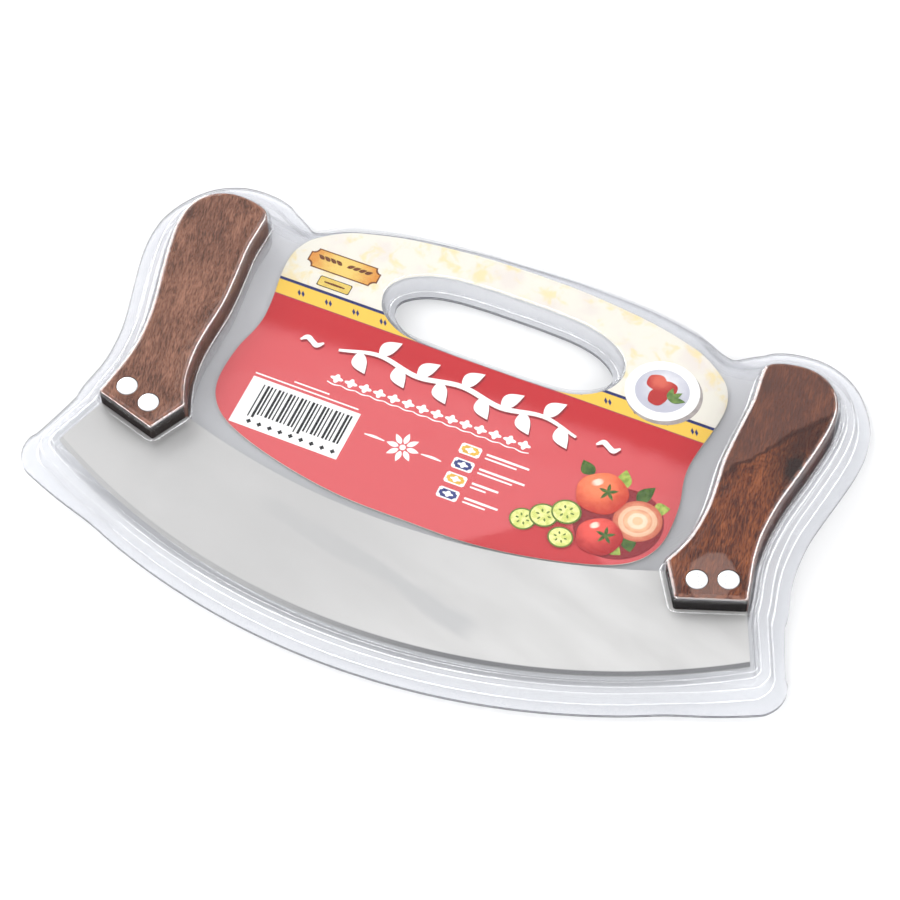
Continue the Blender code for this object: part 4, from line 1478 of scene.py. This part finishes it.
    def panel(self) -> None:
        """Print the white panel with plain, evenly set bars, dots and two rules above it."""
        self.lay("white", block(*self.PANEL))
        for k in range(24):
            x = -67.6 + 1.45 * k
            low = 17.2 if k % 12 < 2 else 18.8
            self.lay("black", block(x, low, x + self.BAR_WIDTHS[k % 3], 31.2), 1)
        for k in range(9):
            self.lay("black", oval(-66.0 + 4.0 * k, 15.4, 0.8, 0.8, 0.0, 4, 0.2, 20), 1)
        for y, left, right in self.RULES:
            self.stroke("white", [(x, y, 0.55) for x in (left, (left + right) / 2, right)])

    def sprig(self) -> None:
        """Print a long leafy sprig between two small waves, and a row of diamonds below it."""
        strokes = [ribbon(self.SPRIG)]
        for k, (x, y, _) in enumerate(smooth(self.SPRIG, 2)[1:-1]):
            up = 1 if k % 2 else -1
            strokes.append(leaf(x, y, 9.6, 5.4, up * 0.95, up * 0.9))
        strokes += [ribbon(np.array(self.WAVE) + (x, 0.0, 0.0)) for x in self.WAVES_AT]
        for k, stroke in enumerate(strokes):
            lift = 0.3 * (1 + k % 2) if k else 0.0
            self.lay("shade", stroke + self.SHADE_SHIFT, lift)
            self.lay("white", stroke, 2 + lift)
        for k in range(14):
            x = -45.5 + 5.46 * k
            self.lay("white", oval(x, 43.4 + 0.02 * k, 1.9, 1.5, 0.0, 4, 0.28, 28))
            self.stroke("white", [(x - 2.7, 41.2, 0.35), (x, 40.7, 0.5), (x + 2.7, 41.2, 0.35)])

    def notes(self) -> None:
        """Print a small round rosette, and four plain bullets with two rules beside each."""
        x, y = self.ROSETTE
        for k in range(8):
            turn = k * math.pi / 4
            self.lay("white", leaf(x + 1.5 * math.cos(turn), y + 1.5 * math.sin(turn), 4.6, 2.0,
                                   turn), 0.3 * (k % 2))
        self.lay("white", oval(x, y, 1.1, 1.1, count=24), 1)
        for left, middle, right in ((-27.0, -23.5, -19.4), (-5.6, -1.5, 2.0)):
            self.stroke("white", [(left, y, 0.4), (middle, 26.6, 1.0), (right, y, 0.4)])
        x, left = self.BULLETS_X, self.BULLETS_X + 5.8
        for k, (y, right) in enumerate(self.BULLETS):
            self.lay("white", plaque(x, y, 7.6, 4.4, 0.5))
            self.lay("bullet_blue" if k % 2 else "bullet", plaque(x, y, 6.4, 3.2, 0.9), 1)
            self.lay("white", oval(x, y, 1.6, 1.0, 0.0, 4, 0.25, 28), 2)
            self.stroke("white", [(left, y + 0.7, 0.8), ((left + right) / 2, y + 0.7, 0.9),
                                  (right, y + 0.7, 0.8)])
            self.stroke("white", [(left, y - 0.9, 0.6), ((10.0 + right) / 2, y - 0.9, 0.7),
                                  (right - 4.0, y - 0.9, 0.6)])

    def plates(self) -> None:
        """Print the bare notched plate and the small yellow one at the upper left."""
        self.lay("brown", plaque(*self.PLATE, 27.4, 8.6, 2.2))
        self.lay("orange", plaque(*self.PLATE, 26.4, 7.6, 2.2), 1)
        for side in (-1, 1):
            for k in range(4):
                self.lay("brown", leaf(self.PLATE[0] + side * (1.0 + 2.3 * k), 88.2, 3.2, 1.5,
                                       (0.0 if side > 0 else math.pi) + 0.5 * side),
                         2 + 0.3 * (k % 2))
        x, y = self.SMALL_PLATE
        self.lay("black", plaque(x, y, 12.6, 4.4, 0.3))
        self.lay("gold", plaque(x, y, 12.0, 3.8, 0.3), 1)
        self.stroke("brown", [(x - 4.0, y, 0.5), (x, y, 0.9), (x + 4.0, y, 0.5)], 2)

    def produce(self) -> None:
        """Print tomatoes, courgette slices, a cut onion and leaves at the lower right."""
        self.lay("shade", oval(67.0, 27.2, 15.4, 14.0, 0.6))
        for k, (x, y, length, turn) in enumerate(self.LEAVES):
            self.lay("leaf_pale" if k % 2 else "leaf_dark", leaf(x, y, length, 5.0, turn, 0.6),
                     1 + 0.3 * (k % 3))
        self.lay("onion", oval(*self.ONION, 8.4, 8.0, 0.4), 2)
        for k, r in enumerate((6.6, 5.0, 3.4, 1.8)):
            self.lay("onion" if k % 2 else "onion_ring", oval(*self.ONION, r, r * 0.93, 0.4), 3 + k)
        for k, (x, y, r) in enumerate(self.TOMATOES):
            layer = 7 + 2 * k
            self.lay(f"tomato_{k}", oval(x, y, r, r * 0.92, 0.3, 5, 0.025), layer)
            self.lay(f"glint_{k}", oval(x - 3.0, y + 3.6, r * 0.26, r * 0.15, 0.7, count=24),
                     layer + 1)
            for j in range(5):
                self.lay("leaf_dark", leaf(x + 1.8, y + 1.2, 3.6, 1.3, 0.5 + j * 2 * math.pi / 5),
                         layer + 1 + 0.15 * j)
        for k, (x, y, r) in enumerate(self.COURGETTES):
            layer = 7 + 3 * k
            self.lay("rind", oval(x, y, r, r * 0.92), layer)
            self.lay("flesh", oval(x, y, r * 0.88, r * 0.80), layer + 1)
            for j in range(6):
                turn = j * math.pi / 3
                self.lay("rind", oval(x + r * 0.42 * math.cos(turn), y + r * 0.38 * math.sin(turn),
                                      r * 0.13, r * 0.07, turn, count=14), layer + 2)

    def bowl(self) -> None:
        """Print a white plate with slices on it at the upper right, over the stripe."""
        x, y = self.DISH
        self.lay("soft_shade", oval(x + 1.0, y - 1.0, 13.6, 12.6))
        self.lay("white", oval(x, y, 13.2, 12.4), 1)
        self.lay("plate_well", oval(x, y, 9.6, 8.9), 2)
        for k, (x, y) in enumerate(self.DISH_SLICES):
            self.lay("slice", oval(x, y, 3.6, 3.3, k * 0.7, 5, 0.03, 36), 3 + k)
        for k, turn in enumerate((0.3, 1.0, 1.7)):
            self.lay("sprig", leaf(64.4, 80.0, 5.6, 2.4, turn, 0.3), 6 + 0.3 * k)


@dataclass(frozen=True)
class Lamp:
    """A soft box, turned to the point that it faces.

    Attributes:
        name: Its name.
        place: Its middle.
        size: Its width and height in metres.
        radiance: Its brightness; a lamp of P watts and area A shows P / (pi A).
        aim: The point that it faces.
        glint: True for a strip that shows in glossy surfaces alone.
    """

    name: str
    place: tuple[float, float, float]
    size: tuple[float, float]
    radiance: float
    aim: tuple[float, float, float] = (0.0, 0.0, 0.0)
    glint: bool = False

    def hang(self) -> None:
        """Make the lamp."""
        data = bpy.data.lights.new(self.name, "AREA")
        data.shape = "RECTANGLE"
        data.size, data.size_y = self.size
        data.energy = self.radiance * math.pi * self.size[0] * self.size[1]
        made = placed(self.name, data)
        made.visible_diffuse = not self.glint
        made.location = self.place
        way = Vector(self.aim) - Vector(self.place)
        made.rotation_euler = way.to_track_quat("-Z", "Y").to_euler()


@dataclass
class Studio:
    """The white sweep, its soft lamps and the camera of the photograph."""

    camera_place: tuple[float, float, float] = (0.21956, -0.49497, 0.84600)
    camera_right: tuple[float, float, float] = (0.92979, 0.36734, -0.02354)
    camera_up: tuple[float, float, float] = (-0.29671, 0.78579, 0.54267)
    camera_back: tuple[float, float, float] = (0.21784, -0.49759, 0.83961)
    lens: float = 116.396
    floor_size: float = 8.0
    floor_depth: float = 0.01
    room_tint: Colour = (0.97, 0.98, 1.0)
    room_light: float = 0.44

    LAMPS = (
        Lamp("ceiling", (-0.40, 1.00, 1.70), (2.6, 2.6), 0.58),
        Lamp("left_box", (-1.60, 0.50, 0.90), (2.60, 1.20), 4.4),
        Lamp("right_box", (1.60, 0.10, 0.90), (2.80, 1.20), 2.95),
        Lamp("front_box", (0.00, -1.80, 0.80), (2.80, 1.20), 2.95),
        Lamp("veil_panel", (-0.42, 0.72, 1.70), (0.56, 0.62), 0.6, (-0.42, 0.72, 0.0), True),
        Lamp("back_right_strip", (1.37, 0.96, 0.89), (2.0, 0.35), 7.0, glint=True),
        Lamp("front_right_strip", (1.22, -0.70, 1.27), (1.4, 0.35), 7.0, glint=True),
        Lamp("front_left_strip", (-0.64, -1.58, 0.83), (2.0, 0.35), 9.5, glint=True),
        Lamp("left_strip", (-1.58, 0.91, 0.52), (1.6, 0.35), 7.0, glint=True))

    def camera(self) -> None:
        """Make the camera, its axes the columns of its matrix."""
        data = bpy.data.cameras.new("camera")
        data.lens = self.lens
        data.sensor_width = 36.0
        data.clip_start = 0.01
        made = placed("camera", data)
        axes = Matrix((self.camera_right, self.camera_up, self.camera_back)).transposed()
        made.matrix_world = Matrix.Translation(self.camera_place) @ axes.to_4x4()
        bpy.context.scene.camera = made

    def floor(self) -> None:
        """Lay the sweep just under the pack."""
        half = self.floor_size / 2
        form = Form()
        form.slab(block(-half, -half, half, half), -self.floor_depth, 0.0)
        form.build("studio_sweep", [StudioWhite().material()])

    def light(self) -> None:
        """Light the set: a broad box overhead, low boxes on three sides and a pale room."""
        for lamp in self.LAMPS:
            lamp.hang()
        world = bpy.data.worlds.new("studio_room")
        world.use_nodes = True
        background = world.node_tree.nodes["Background"]
        background.inputs[0].default_value = (*self.room_tint, 1.0)
        background.inputs[1].default_value = self.room_light
        scene = bpy.context.scene
        scene.world = world
        scene.view_settings.view_transform = "Standard"
        scene.cycles.transparent_max_bounces = 32


def main() -> None:
    """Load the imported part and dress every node."""
    logging.basicConfig(level=logging.INFO, format="%(message)s")
    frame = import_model()
    lines = Outlines(shift=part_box("blade")[0].y + Outlines.edge_sag + Outlines.tip_drop)
    levels = Levels()
    metal = RivetMetal().material()
    tilt = math.radians(3.0)
    # The foot colours are painted shade on the handles' forward faces.
    woods = {
        Side.LEFT: Wood("left_hardwood", (-lines.handle_x, lines.shift, 0.0), tilt,
                        ink(66, 38, 27), ink(110, 70, 53), ink(148, 103, 82),
                        foot=ink(32, 25, 23)),
        Side.RIGHT: Wood("right_hardwood", (lines.handle_x, lines.shift, 0.0), -tilt,
                         ink(44, 16, 8), ink(90, 40, 19), ink(142, 80, 44), knot=True)}
    for side, wood in woods.items():
        Handle(lines, levels, side).build(wood.material(), metal)
    blade = frame["nodes"]["blade"]
    blade.data.materials.clear()
    blade.data.materials.append(Steel(lines.edge_centre, lines.edge_radius).material())
    Card(lines, levels).build(CardPrint(lines.card_origin, lines.card_turn).material())
    Artwork(lines, levels).build()
    sheets = {Shell.FRONT: ClearSheet("clear_front_sheet").material(),
              Shell.BACK: ClearSheet("clear_back_sheet", haze=0.22, haze_top=9.2).material()}
    cut = ClearSheet("sheet_cut_edge", haze=0.02, tint=(0.06, 0.06, 0.08))
    Pack(lines, levels).build(sheets, cut.material())
    studio = Studio()
    studio.floor()
    studio.camera()
    studio.light()


if __name__ == "__main__":
    main()
